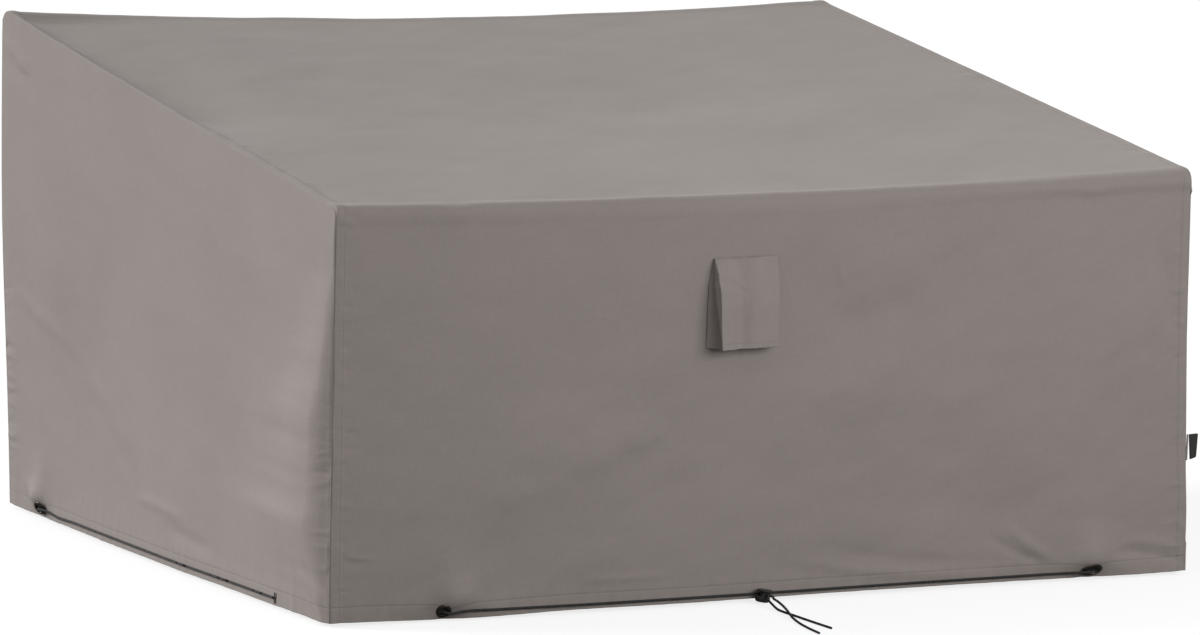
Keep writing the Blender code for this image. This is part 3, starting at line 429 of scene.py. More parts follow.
# ---- materials ----------------------------------------------------------------------------------
class Graph:
    """A material's node graph. Its methods add nodes and give back their output, but for the last
    three, which set the shader's own colour, relief and roughness."""

    def __init__(self, name, color, roughness, more=()):
        self.material = bpy.data.materials.new(name)
        self.material.use_nodes = True
        self.tree = self.material.node_tree
        self.shader = self.tree.nodes["Principled BSDF"]
        self.relief = None
        values = {"Base Color": (*color, 1.0), "Roughness": roughness, **dict(more)}
        for key, value in values.items():
            self.shader.inputs[key].default_value = value

    def node(self, kind, inputs=(), **settings):
        made = self.tree.nodes.new(kind)
        for key, value in settings.items():
            setattr(made, key, value)
        for key, value in dict(inputs).items():
            if isinstance(value, bpy.types.NodeSocket):
                self.tree.links.new(value, made.inputs[key])
            else:
                made.inputs[key].default_value = value
        return made

    def uv(self, name):
        return self.node("ShaderNodeUVMap", uv_map=name).outputs["UV"]

    def place(self):
        return self.node("ShaderNodeTexCoord").outputs["Object"]

    def scaled(self, vector, scale, turn=0.0):
        inputs = {"Vector": vector, "Scale": scale, "Rotation": (0.0, 0.0, turn)}
        return self.node("ShaderNodeMapping", inputs).outputs["Vector"]

    def noise(self, vector, scale, detail=2.0, roughness=0.5):
        inputs = {"Vector": vector, "Scale": scale, "Detail": detail, "Roughness": roughness}
        return self.node("ShaderNodeTexNoise", inputs).outputs["Fac"]

    def wave(self, vector, direction, pitch):
        """Even ridges that far apart, from 0 to 1."""
        inputs = {"Vector": vector, "Scale": math.tau / WAVE_RADIANS / pitch}
        return self.node("ShaderNodeTexWave", inputs, bands_direction=direction).outputs["Fac"]

    def math(self, operation, a, b=0.0):
        return self.node("ShaderNodeMath", {0: a, 1: b}, operation=operation).outputs[0]

    def blend(self, a, share_a, b, share_b):
        """The sum of two factors, each times its share."""
        return self.math("ADD", self.math("MULTIPLY", a, share_a), self.math("MULTIPLY", b, share_b))

    def between(self, factor, low, high):
        """Carries 0 to 1 onto low to high."""
        inputs = {"Value": factor, "To Min": low, "To Max": high}
        return self.node("ShaderNodeMapRange", inputs).outputs["Result"]

    def tinted(self, factor, dark, light):
        """Colours the shader between two shades of its own colour, by a factor from 0 to 1."""
        base = self.shader.inputs["Base Color"].default_value
        low, high = ((*[c * share for c in base[:3]], 1.0) for share in (dark, light))
        made = self.node("ShaderNodeMix", {0: factor, 6: low, 7: high}, data_type="RGBA")
        self.tree.links.new(made.outputs[2], self.shader.inputs["Base Color"])

    def bump(self, height, distance, strength=1.0):
        inputs = {"Height": height, "Distance": distance, "Strength": strength}
        if self.relief is not None:
            inputs["Normal"] = self.relief
        self.relief = self.node("ShaderNodeBump", inputs).outputs["Normal"]
        self.tree.links.new(self.relief, self.shader.inputs["Normal"])

    def rough(self, factor, low, high):
        self.tree.links.new(self.between(factor, low, high), self.shader.inputs["Roughness"])


def cloth_material():
    """Plain weave with slightly uneven yarns, a soft coating and faint rubbed places."""
    g = Graph("cloth", CLOTH_COLOR, 0.80,
              {"Sheen Weight": 0.10, "Sheen Roughness": 0.45, "Specular IOR Level": 0.35})
    place = g.uv("cloth")
    yarns = g.math("ADD", *[g.noise(g.scaled(place, scale), 1.0, 1.0) for scale in YARN_SCALES])
    grain = g.noise(place, 420.0, 3.0, 0.6)
    broad = g.noise(place, 5.5, 2.0)
    g.tinted(g.blend(g.blend(yarns, 0.34, grain, 0.32), 0.75, broad, 0.25), 0.72, 1.28)
    weave = g.math("MULTIPLY", *[g.wave(place, axis, WEAVE_PITCH) for axis in "XY"])
    g.bump(g.noise(place, 60.0, 3.0), 0.0005, 0.35)
    g.bump(weave, 0.00012, 0.6)
    g.bump(yarns, 0.00010, 0.5)
    g.rough(broad, 0.72, 0.88)
    return g.material


def thread_material():
    g = Graph("thread", THREAD_COLOR, 0.62)
    g.tinted(g.noise(g.place(), 900.0, 1.0), 0.70, 1.35)
    return g.material


def cord_material():
    """Crossed strands of a round braid, on (around, along) in metres."""
    g = Graph("cord_black", CORD_COLOR, 0.70, {"Sheen Weight": 0.05})
    place = g.uv("cord")
    strands = [g.wave(g.scaled(place, (1.0, 1.0, 1.0), lean), "Y", BRAID_PITCH)
               for lean in (BRAID_LEAN, -BRAID_LEAN)]
    braid = g.math("MAXIMUM", *strands)
    # the colour is darker between the strands and lighter on them: painted groove shade, with random tone
    # from the noise
    g.tinted(g.math("MULTIPLY", braid, g.noise(place, 1500.0, 2.0)), 0.5, 1.7)
    g.bump(braid, 0.0003, 0.9)
    return g.material


def metal_material():
    """Dark gunmetal with soft brushed scratches and paler rubbed places."""
    g = Graph("eyelet_metal", METAL_COLOR, 0.34, {"Metallic": 0.85})
    rubbed = g.noise(g.place(), 420.0, 3.0, 0.6)
    g.tinted(rubbed, 0.45, 1.5)
    g.rough(rubbed, 0.24, 0.46)
    g.bump(g.noise(g.place(), 1400.0, 2.0), 0.00008, 0.5)
    return g.material


def plastic_material():
    """Black moulded plastic with a fine grain."""
    g = Graph("lock_plastic", PLASTIC_COLOR, 0.38)
    grain = g.noise(g.place(), 2600.0, 2.0)
    g.tinted(g.noise(g.place(), 180.0, 2.0), 0.7, 1.5)
    g.rough(grain, 0.28, 0.50)
    g.bump(grain, 0.00006, 0.6)
    return g.material


def tape_material():
    """Ribbed woven tape."""
    g = Graph("tape_black", TAPE_COLOR, 0.75)
    place = g.place()
    ribs = g.wave(place, "Z", RIB_PITCH)
    # the colour is darker between the ribs and lighter on them: painted groove shade, with random tone
    # from the noise
    g.tinted(g.math("MULTIPLY", ribs, g.noise(place, 1300.0, 2.0)), 0.5, 2.2)
    g.bump(ribs, 0.0002, 0.8)
    return g.material


def painted_hole_shade_material():
    """Painted shade: near-black on an eyelet's bore and on the flat disc across its hole, for the shade
    seen in the hole.
    """
    g = Graph("eyelet_hole_shade", HOLE_SHADE_COLOR, 0.9)
    g.tinted(g.noise(g.place(), 300.0), 0.6, 1.4)
    return g.material


def floor_material():
    """Pale, and white to look at outside the cover, which keeps the shadow under the hem faint."""
    g = Graph("floor_pale", FLOOR_COLOR, 0.9,
              {"Specular IOR Level": 0.0, "Emission Color": (1.0, 1.0, 1.0, 1.0)})
    place = g.node("ShaderNodeSeparateXYZ", {"Vector": g.place()}).outputs
    outside = g.math("MAXIMUM", *[g.math("GREATER_THAN", g.math("ABSOLUTE", place[axis]), half)
                                  for axis, half in zip("XY", FLOOR_DARK)])
    seen = g.node("ShaderNodeLightPath").outputs["Is Camera Ray"]
    glow = g.between(g.math("MULTIPLY", outside, seen), 0.0, FLOOR_GLOW)
    g.tree.links.new(glow, g.shader.inputs["Emission Strength"])
    g.tinted(g.noise(g.place(), 0.6), 0.995, 1.005)
    return g.material


MATERIALS = {
    "cloth": cloth_material(),
    "thread": thread_material(),
    "cord_black": cord_material(),
    "eyelet_metal": metal_material(),
    "lock_plastic": plastic_material(),
    "tape_black": tape_material(),
    "eyelet_hole_shade": painted_hole_shade_material(),
}


# ---- rays into the solids -----------------------------------------------------------------------
def vertices_of(name):
    return np.array([v.co for v in NODES[name].data.vertices])


def tree_of(mesh):
    return BVHTree.FromPolygons([v.co for v in mesh.vertices], [tuple(p.vertices) for p in mesh.polygons])


def leaves(tree, start, direction, reach=RAY_FAR):
    """How far a ray from inside runs to the solid's outermost face; nan where there is none."""
    start = Vector(start)
    direction = Vector(direction)
    hit = tree.ray_cast(start + direction * reach, -direction, reach * RAY_BACK)
    return math.nan if hit[0] is None else (hit[0] - start).dot(direction)


def evened(values, sigma, *axes):
    """Values evened out along those axes, sigma in samples. The values at both ends stay."""
    for axis in axes:
        moved = np.moveaxis(values, axis, 0)
        reach = min(int(math.ceil(3 * sigma)), moved.shape[0] - 1)
        weights = np.exp(-0.5 * (np.arange(-reach, reach + 1) / sigma) ** 2)
        weights /= weights.sum()
        first = 2 * moved[0] - moved[reach:0:-1]
        last = 2 * moved[-1] - moved[-2:-reach - 2:-1]
        longer = np.concatenate([first, moved, last])
        out = sum(w * longer[k:k + moved.shape[0]] for k, w in enumerate(weights))
        values = np.moveaxis(out, 0, axis)
    return values


def evened_near(values, near, *axes):
    """Values evened out over the wide length, and over the tight one where near is 1."""
    wide, tight = (evened(values, length / LATTICE, *axes) for length in (SMOOTH_WIDE, SMOOTH_TIGHT))
    return mix(wide, tight, near)


def near_fittings(across, z, axis, eyelets):
    """From 0 to 1, how near the hem and the eyelets a place is; across is its x or y, by the axis."""
    share = bell(z, HEM_FREE)
    for name in eyelets:
        low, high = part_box(name)
        away = np.hypot(across - (low[axis] + high[axis]) / 2, z - (low.z + high.z) / 2)
        share = np.maximum(share, smooth(EYELET_REACH - away / EYELET_PULL))
    return share


def between(knots, places):
    """Matrix that carries values at evenly spaced knots to places between them on a smooth curve."""
    count = len(knots)
    at = np.clip((places - knots[0]) / (knots[1] - knots[0]), 0.0, count - 1.0)
    base = np.clip(np.floor(at).astype(int), 0, count - 2)
    t = at - base
    shares = (-0.5 * t + t ** 2 - 0.5 * t ** 3, 1 - 2.5 * t ** 2 + 1.5 * t ** 3,
              0.5 * t + 2 * t ** 2 - 1.5 * t ** 3, -0.5 * t ** 2 + 0.5 * t ** 3)
    weights = np.zeros((len(places), count))
    for k, share in enumerate(shares):
        column = np.clip(base + k - 1, 0, count - 1)
        np.add.at(weights, (np.arange(len(places)), column), share)
    return weights


def carried_on(grid):
    """The grid with each missing value taken from the nearest known ones in its column."""
    for column in grid.T:
        known = np.flatnonzero(~np.isnan(column))
        column[:] = np.interp(np.arange(len(column)), known, column[known])
    return grid


def places(length, pitch, fine_first, fine_last):
    """Places from 0 to length about that far apart, and closer over stretches at the two ends."""
    first = np.array(fine_first)
    last = length - np.array(fine_last)[::-1]
    count = int(round((last[0] - first[-1]) / pitch)) + 1
    return np.concatenate([first, np.linspace(first[-1], last[0], count)[1:-1], last])


# ---- the panels as fine grids -------------------------------------------------------------------
class Panel:
    """The outer face of a cloth panel as a grid. Rows run up the cloth and columns to the right of
    someone who faces it; along and up are each point's distances over the cloth, in metres."""

    def __init__(self, points):
        self.base = points
        self.points = points
        self.along = distances(points, 1)
        self.up = distances(points, 0)
        self.width = self.along[:, -1:]
        self.length = self.up[-1:]
        self.height = np.zeros(self.up.shape)

    def raised(self):
        """Moves the points out by the heights gathered."""
        self.points = self.base + grid_normals(self.base) * self.height[..., None]
        self.normals = grid_normals(self.points)

    def at(self, rows, columns):
        """Points and normals of the finished face at rows and columns, which needn't be whole."""
        i = np.clip(np.floor(rows).astype(int), 0, self.points.shape[0] - 2)
        j = np.clip(np.floor(columns).astype(int), 0, self.points.shape[1] - 2)
        fi, fj = (rows - i)[:, None], (columns - j)[:, None]
        found = []
        for grid in (self.points, self.normals):
            low = mix(grid[i, j], grid[i, j + 1], fj)
            high = mix(grid[i + 1, j], grid[i + 1, j + 1], fj)
            found.append(mix(low, high, fi))
        return found[0], unit(found[1])

    def level_line(self, up):
        """Points and normals along the line that runs that far above the hem."""
        columns = np.arange(self.up.shape[1], dtype=float)
        index = np.arange(self.up.shape[0])
        rows = np.array([np.interp(up, self.up[:, j], index) for j in range(len(columns))])
        return self.at(rows, columns)

    def edge_line(self, away, from_right=False):
        """Points and normals along the line that runs that far inside the left or right edge."""
        rows = np.arange(self.up.shape[0], dtype=float)
        index = np.arange(self.up.shape[1])
        place = [line[-1] - away if from_right else away for line in self.along]
        columns = np.array([np.interp(p, line, index) for p, line in zip(place, self.along)])
        return self.at(rows, columns)


def distances(points, axis):
    steps = np.linalg.norm(np.diff(points, axis=axis), axis=-1)
    start = np.zeros_like(np.take(steps, [0], axis))
    return np.concatenate([start, np.cumsum(steps, axis)], axis)


def grid_normals(points):
    return unit(np.cross(np.gradient(points, axis=1), np.gradient(points, axis=0)))


def fold_corners(tree, x):
    """Where the lines of front and top, and of top and back, would cross at that x: (y, z) each."""
    front = [np.array([-leaves(tree, (x, 0, z), (0, -1, 0)), z]) for z in FRONT_READ]
    back = [np.array([leaves(tree, (x, 0, z), (0, 1, 0)), z]) for z in BACK_READ]
    top = [np.array([y, leaves(tree, (x, y, 0), (0, 0, 1))])
           for y in (front[1][0] + TOP_READ, back[1][0] - TOP_READ)]
    return crossing(front, top), crossing(top, back)


def crossing(first, second):
    (p, q), (r, s) = first, second
    share = np.linalg.solve(np.column_stack([q - p, r - s]), r - p)[0]
    return p + (q - p) * share


def edge_heights(name, axis, half=None):
    """Places along an axis, and the heights there, of a solid's lower edge or of one half of it."""
    co = vertices_of(name)
    low = co[co[:, 2] < co[:, 2].min() + HEM_FALL]
    if half is not None:
        low = low[(low[:, 1] < 0) == (half == "front")]
    low = low[np.argsort(low[:, axis])]
    return low[:, axis], low[:, 2]


class MainPanel:
    """Front, top and back in one cloth, read along rays that leave a line INSET under its faces."""

    def __init__(self):
        self.tree = tree_of(NODES["main_panel"].data)
        self.walls = {side: tree_of(NODES[f"side_panel_{side}"].data) for side in OUTWARD}
        low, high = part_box("main_panel")
        self.width = high.x - low.x
        margin = EDGE_MARGIN / self.width
        self.shares = np.linspace(margin, 1.0 - margin, int(round(self.width / LATTICE)) + 1)
        xs = mix(low.x, high.x, np.clip(self.shares, *FOLD_SHARES))
        corners = np.array([fold_corners(self.tree, x) for x in xs])
        corners = evened(corners, CORNER_EVEN / LATTICE, 0)
        self.folds = corners[:, 0], corners[:, 1]
        self.hems = [edge_heights("main_panel", 0, half) for half in ("front", "back")]

    @staticmethod
    def skeleton(leg, share, fold_front, fold_back, hem_front, hem_back):
        """Starts and directions (y, z) of a leg's rays, at shares of its length, for each column."""
        slope = (fold_back[:, 1] - fold_front[:, 1]) / (fold_back[:, 0] - fold_front[:, 0])
        rise = np.sqrt(1.0 + slope ** 2)
        upward = np.column_stack([-slope / rise, 1.0 / rise])
        forward = np.broadcast_to([-1.0, 0.0], upward.shape)
        c1 = fold_front + np.column_stack([np.full(len(slope), INSET), (slope - rise) * INSET])
        c2 = fold_back - np.column_stack([np.full(len(slope), INSET), (slope + rise) * INSET])
        foot1 = np.column_stack([c1[:, 0], hem_front])
        foot2 = np.column_stack([c2[:, 0], hem_back])
        ends = {"front": (foot1, c1, forward, forward), "front_turn": (c1, c1, forward, upward),
                "top": (c1, c2, upward, upward), "back_turn": (c2, c2, upward, -forward),
                "back": (c2, foot2, -forward, -forward)}[leg]
        share = share[:, None, None]
        return mix(ends[0], ends[1], share), unit(mix(ends[2], ends[3], share))

    def wall_line(self, side, y, z):
        """x of a side's outer face along the panel's edge, with its slope carried on down the hem."""
        out = OUTWARD[side]
        x = np.array([out[0] * leaves(self.walls[side], (0, a, b), out) for a, b in zip(y, z)])
        x = carried_on(x[:, None])[:, 0]
        free = z > HEM_FREE
        near = free & (z < HEM_FREE + HEM_TREND)
        if near.any() and not free.all():
            x[~free] = np.polyval(np.polyfit(z[near], x[near], 1), z[~free])
        return x

    def leg(self, name, row_shares, column_shares):
        """The leg's outer points at shares of its own length and of the width."""
        hems = [np.interp(mix(xs[0], xs[-1], self.shares), xs, zs) + HEM_READ for xs, zs in self.hems]
        knots = np.linspace(0.0, 1.0, max(LEAST_KNOTS, int(round(LEG_LENGTHS[name] / LATTICE)) + 1))
        start, way = self.skeleton(name, knots, *self.folds, *hems)
        edges = []
        for side, column in (("left", 0), ("right", -1)):
            spot = start[:, column] + way[:, column] * (INSET - WALL_READ)
            edges.append(self.wall_line(side, *spot.T) - OUTWARD[side][0] * EDGE_BACK)
        left, right = edges
        reach = np.zeros(start.shape[:2])
        for k in range(len(knots)):
            for j, share in enumerate(self.shares):
                ray = (mix(left[k], right[k], share), *start[k, j])
                reach[k, j] = leaves(self.tree, ray, (0, *way[k, j]), RAY_REACH)
        reach = carried_on(reach)
        beside = np.minimum(self.shares, 1.0 - self.shares) * (right[0] - left[0])
        reach -= SEAM_EXTRA * (beside < SEAM_SOLID)
        if "turn" in name:
            reach = evened(evened(reach, SMOOTH_WIDE / LATTICE, 1), TURN_EVEN, 0)
        else:
            x = mix(left[:, None], right[:, None], self.shares)
            eyelets = FRONT_EYELETS if name == "front" else ()
            reach = evened_near(reach, near_fittings(x, start[..., 1], 0, eyelets), 1, 0)
        rows, columns = between(knots, row_shares), between(self.shares, column_shares)
        start, way = self.skeleton(name, row_shares, *[columns @ line for line in (*self.folds, *hems)])
        x = mix((rows @ left)[:, None], (rows @ right)[:, None], column_shares)
        spots = start + way * (rows @ reach @ columns.T)[..., None]
        return np.concatenate([x[..., None], spots], axis=2)


def make_main_grid():
    """The whole outer face of the main panel, and the first row of each leg."""
    solid = MainPanel()
    columns = places(solid.width, MAIN_PITCH, EDGE_PLACES, EDGE_PLACES) / solid.width
    turn = np.linspace(0.0, 1.0, TURN_STEPS + 1)
    legs = {"front": places(FRONT_TALL, FRONT_PITCH, HEM_PLACES, (0.0,)) / FRONT_TALL,
            "front_turn": turn,
            "top": np.linspace(0.0, 1.0, int(TOP_DEEP / TOP_PITCH) + 1),
            "back_turn": turn,
            "back": 1.0 - places(BACK_TALL, BACK_PITCH, HEM_PLACES, (0.0,))[::-1] / BACK_TALL}
    grids, first = [], {}
    for leg, shares in legs.items():
        first[leg] = sum(len(grid) for grid in grids)
        grids.append(solid.leg(leg, shares if leg == "back" else shares[:-1], columns))
    return Panel(np.concatenate(grids)), first


class SideSolid:
    """A side panel's outer face, read along rays from inside, between the main panel's edges."""

    def __init__(self, side, main, first):
        self.out = OUTWARD[side][0]
        self.side = side
        self.tree = tree_of(NODES[f"side_panel_{side}"].data)
        edge = main.base[:, 0 if side == "left" else -1]
        self.front = edge[:first["front_turn"] + 1]
        self.top = edge[first["front_turn"]:first["back"] + 1]
        self.back = edge[first["back"]:][::-1]
        self.hem = edge_heights(f"side_panel_{side}", 1)

    def spots(self, rows, columns):
        """y and z at shares up the panel and of its depth, from the front."""
        depth, up = np.meshgrid(columns, rows)
        y = mix(self.front[0, 1], self.back[0, 1], depth)
        for _ in range(SPOT_ROUNDS):
            foot = np.interp(y, *self.hem) + HEM_READ
            z = mix(foot, np.interp(y, self.top[:, 1], self.top[:, 2]), up)
            y = mix(np.interp(z, self.front[:, 2], self.front[:, 1]),
                    np.interp(z, self.back[:, 2], self.back[:, 1]), depth)
        return y, z

    def grid(self, rows, columns):
        knots_up = np.linspace(0.0, SIDE_READ, int(SIDE_TALL / LATTICE))
        knots_on = np.linspace(1.0 - SIDE_READ, SIDE_READ, int(SIDE_DEEP / LATTICE))
        y, z = self.spots(knots_up, knots_on)
        x = np.array([[leaves(self.tree, (0, a, b), (self.out, 0, 0)) for a, b in zip(*line)]
                      for line in zip(y, z)])
        x = carried_on(carried_on(x.T).T)
        x = evened_near(x, near_fittings(y, z, 1, [f"eyelet_side_{self.side}"]), 0, 1)
        x = between(knots_up, rows) @ x @ between(knots_on, columns).T
        y, z = self.spots(rows, columns)
        for line, edge in ((self.front, 0), (self.back, -1)):
            wanted = np.interp(z[:, edge], line[:, 2], self.out * line[:, 0]) + EDGE_COVERED
            near = bell(y - y[:, edge][:, None], EDGE_DRAWN)
            x = x + (wanted - x[:, edge])[:, None] * near
        return np.stack([self.out * x, y, z], axis=2)


def make_side_grid(side, main, first, pitch_along, pitch_up):
    solid = SideSolid(side, main, first)
    depth = solid.back[0, 1] - solid.front[0, 1]
    columns = places(depth, pitch_along, EDGE_PLACES, EDGE_PLACES) / depth
    rows = places(SIDE_TALL, pitch_up, HEM_PLACES, ROLL_PLACES) / SIDE_TALL
    grid = solid.grid(rows, columns)
    return Panel(grid[:, ::-1] if side == "left" else grid)


# ---- creases ------------------------------------------------------------------------------------
def add_crease(panel, start, end, half, height, bend=0.0, fade=CREASE_FADE):
    """A soft ridge (or trough, where the height is negative) over the cloth from start to end, each
    (along, up). bend moves its middle to the left, and fade is the share of it that tapers."""
    start, end = np.array(start, float), np.array(end, float)
    length = np.linalg.norm(end - start)
    way = (end - start) / length
    side = np.array([-way[1], way[0]])
    reach = CREASE_REACH * half + abs(bend) + CREASE_MARGIN
    low = np.minimum(start, end) - reach
    high = np.maximum(start, end) + reach
    middle_row = panel.along[panel.along.shape[0] // 2]
    middle_column = panel.up[:, panel.up.shape[1] // 2]
    j = slice(*np.searchsorted(middle_row, (low[0], high[0])))
    i = slice(*np.searchsorted(middle_column, (low[1], high[1])))
    across = panel.along[i, j] - start[0]
    upward = panel.up[i, j] - start[1]
    t = (across * way[0] + upward * way[1]) / length
    inside = np.clip(t, 0.0, 1.0)
    off = across * side[0] + upward * side[1] - bend * arch(inside)
    taper = smooth(t / fade) * smooth((1.0 - t) / fade)
    panel.height[i, j] += height * bell(off, half) * taper


def add_creases(panel, creases, origin=(0.0, 0.0), onward=1.0, depth=1.0):
    """Listed creases, measured from an origin: to the right, or to the left if onward is -1."""
    for *ends, half, height, bend in creases:
        start, end = ((origin[0] + onward * along, origin[1] + up) for along, up in ends)
        add_crease(panel, start, end, half, height * depth, bend)


def drawn_wave(rng, shortest, longest):
    """A length between two, and a phase."""
    return shortest * (longest / shortest) ** rng.random(), rng.random() * math.tau


def add_unevenness(panel, rng, angle, turn, waves, shortest, longest, slope):
    """Many faint long waves whose crests lie about one angle, as cloth that has been folded keeps."""
    for _ in range(waves):
        crest = math.radians(rng.normal(angle, turn))
        length, phase = drawn_wave(rng, shortest, longest)
        off = panel.up * math.cos(crest) - panel.along * math.sin(crest)
        on = panel.along * math.cos(crest) + panel.up * math.sin(crest)
        drift = DRIFT * wave(on, DRIFT_LONG * length, phase * DRIFT_PHASE)
        height = slope * length / math.tau / math.sqrt(waves)
        panel.height += height * wave(off, length, phase + drift)


def add_puckers(panel, rng, ends, count, reach, half, height):
    """Short ridges and troughs that run off a seam, which goes between two places."""
    start, end = np.array(ends, float)
    way = (end - start) / np.linalg.norm(end - start)
    for _ in range(count):
        foot = mix(start, end, rng.random())
        angle = math.radians(rng.normal(0.0, PUCKER_TURN))
        off = np.array([way[1] * math.cos(angle) + way[0] * math.sin(angle),
                        -way[0] * math.cos(angle) + way[1] * math.sin(angle)])
        long = reach * rng.uniform(*PUCKER_LONG)
        tall = height * rng.uniform(*PUCKER_TALL) * rng.choice((-1.0, 1.0))
        wide = half * rng.uniform(*PUCKER_WIDE)
        bend = rng.uniform(-PUCKER_BEND, PUCKER_BEND) * long
        add_crease(panel, foot - off * long * PUCKER_BEHIND, foot + off * long, wide, tall, bend,
                   PUCKER_FADE)


def add_ripples(panel, rng, up, shortest, longest, height, rise):
    """Upright ripples along a hem, which die away above it; up is the distance from that hem."""
    fall = np.exp(-np.maximum(up - RIPPLE_FOOT, 0.0) / rise)
    for _ in range(RIPPLES):
        length, phase = drawn_wave(rng, shortest, longest)
        window = 0.5 + 0.5 * wave(panel.along, rng.uniform(*RIPPLE_GROUPS), phase * RIPPLE_PHASE)
        panel.height += height / math.sqrt(RIPPLES) * fall * window * wave(panel.along, length, phase)


def rolled(away, radius):
    """How far a folded edge falls back, that far from the edge."""
    inside = np.clip(radius - away, 0.0, radius)
    return radius - np.sqrt(radius ** 2 - inside ** 2)


def groove(away):
    return -GROOVE * bell(away, GROOVE_HALF)


def add_sewing(panel, felled):
    """Folded edges, the hem's row of stitches and, on the main panel, the felled seam bands."""
    seams = panel.along, panel.width - panel.along
    ends = panel.up, panel.length - panel.up
    panel.height *= smooth(np.minimum(*seams) / EDGE_STILL)
    for away in seams:
        panel.height -= rolled(away, ROLL_FELLED if felled else ROLL_PLAIN)
    for away in ends:
        panel.height -= rolled(away, ROLL_PLAIN)
    for away in ends if felled else ends[:1]:
        panel.height += groove(away - HEM_STITCH)
    if felled:
        rungs = 0.5 + 0.5 * np.cos(panel.up / RUNG_PITCH * math.tau)
        for away in seams:
            panel.height += BAND_RISE * smooth((BAND + BAND_STEP / 2 - away) / BAND_STEP)
            panel.height += RUNG_RISE * rungs * bell(away - BAND / 2, RUNG_HALF)
            panel.height += groove(away - BAND_STITCH)


def add_turn_in(panel, rng):
    """Swells the left side beside its front seam, so that its last part turns in to the seam."""
    up, swell, distance = (np.array(column) for column in zip(*SIDE_TURN))
    wander = np.ones_like(panel.up)
    for length, part in SIDE_WANDER:
        wander += part * wave(panel.up, length, rng.random() * math.tau)
    share = (panel.width - panel.along) / (np.interp(panel.up, up, distance) * wander)
    rising = np.sin(share.clip(0.0, 1.0) * math.pi / 2)
    swollen = np.where(share < 1.0, rising, bell(share - 1.0, SIDE_FALL))
    panel.height += np.interp(panel.up, up, swell) * wander * swollen


def add_main_creases(main, first):
    rng = np.random.default_rng(MAIN_SEED)
    fold, back_fold = (float(main.up[first[turn] + TURN_STEPS // 2].mean())
                       for turn in ("front_turn", "back_turn"))
    end = float(main.length.mean())
    width = float(main.width.mean())
    main.height += FOLD_SHARPER * bell(main.up - fold, FOLD_HALF)
    beside = main.along / TROUGH_WIDE
    behind = smooth((main.up - fold - TROUGH_FROM) / TROUGH_GROWS)
    main.height -= (TROUGH * beside * np.exp(1.0 - beside)
                    * behind * smooth((back_fold - main.up) / TROUGH_ENDS))
    add_creases(main, FRONT_CREASES, depth=FRONT_DEPTH)
    add_creases(main, CORNER_TUCKS + TOP_CREASES, (0.0, fold))
    calm = main.height.copy()
    for waves in MAIN_WAVES:
        add_unevenness(main, rng, *waves)
    on_front = smooth((fold + CALM_FROM - main.up) / CALM_OVER)
    main.height = calm + (main.height - calm) * mix(TOP_CALM, 1.0, on_front)
    add_unevenness(main, rng, *MAIN_BROAD)
    front = (HEM_CLEAR, fold - FOLD_CLEAR, FRONT_PUCKERS)
    top = (fold + FOLD_CLEAR, back_fold - FOLD_CLEAR, TOP_PUCKERS)
    back = (back_fold + FOLD_CLEAR, end - HEM_CLEAR, BACK_PUCKERS)
    for stretches in ([front], [top, back]):
        for along, order in ((SEAM_CLEAR, 1), (width - SEAM_CLEAR, -1)):
            for low, high, puckers in stretches:
                add_puckers(main, rng, [(along, low), (along, high)][::order], *puckers)
    add_ripples(main, rng, main.up, *FRONT_RIPPLES)
    add_ripples(main, rng, main.length - main.up, *BACK_RIPPLES)
    add_sewing(main, True)


def add_side_creases(panel, side, seed):
    rng = np.random.default_rng(seed)
    width = float(panel.width.mean())
    tall = float(panel.length.mean())
    if side == "left":
        add_creases(panel, LEFT_CREASES, (width, 0.0), -1.0, SIDE_DEPTH)
        add_turn_in(panel, rng)
    for angle, *rest in SIDE_WAVES:
        add_unevenness(panel, rng, OUTWARD[side][0] * angle, *rest)
    add_unevenness(panel, rng, *SIDE_BROAD)
    add_puckers(panel, rng, [(width, tall * RIGHT_EDGE_TO), (width, HEM_CLEAR)], *RIGHT_EDGE_PUCKERS)
    add_puckers(panel, rng, [(0.0, HEM_CLEAR), (0.0, tall * LEFT_EDGE_TO)], *LEFT_EDGE_PUCKERS)
    add_ripples(panel, rng, panel.up, *SIDE_RIPPLES)
    add_sewing(panel, False)


# ---- meshes -------------------------------------------------------------------------------------
def strip(outer, inner, kept):
    """Faces that close the rim between a line of outer points and every kept one's inner point."""
    faces = []
    for k, (a, b) in enumerate(zip(kept, kept[1:])):
        faces += [(outer[m + 1], outer[m], inner[k]) for m in range(a, b)]
        faces.append((outer[b], inner[k], inner[k + 1]))
    return faces


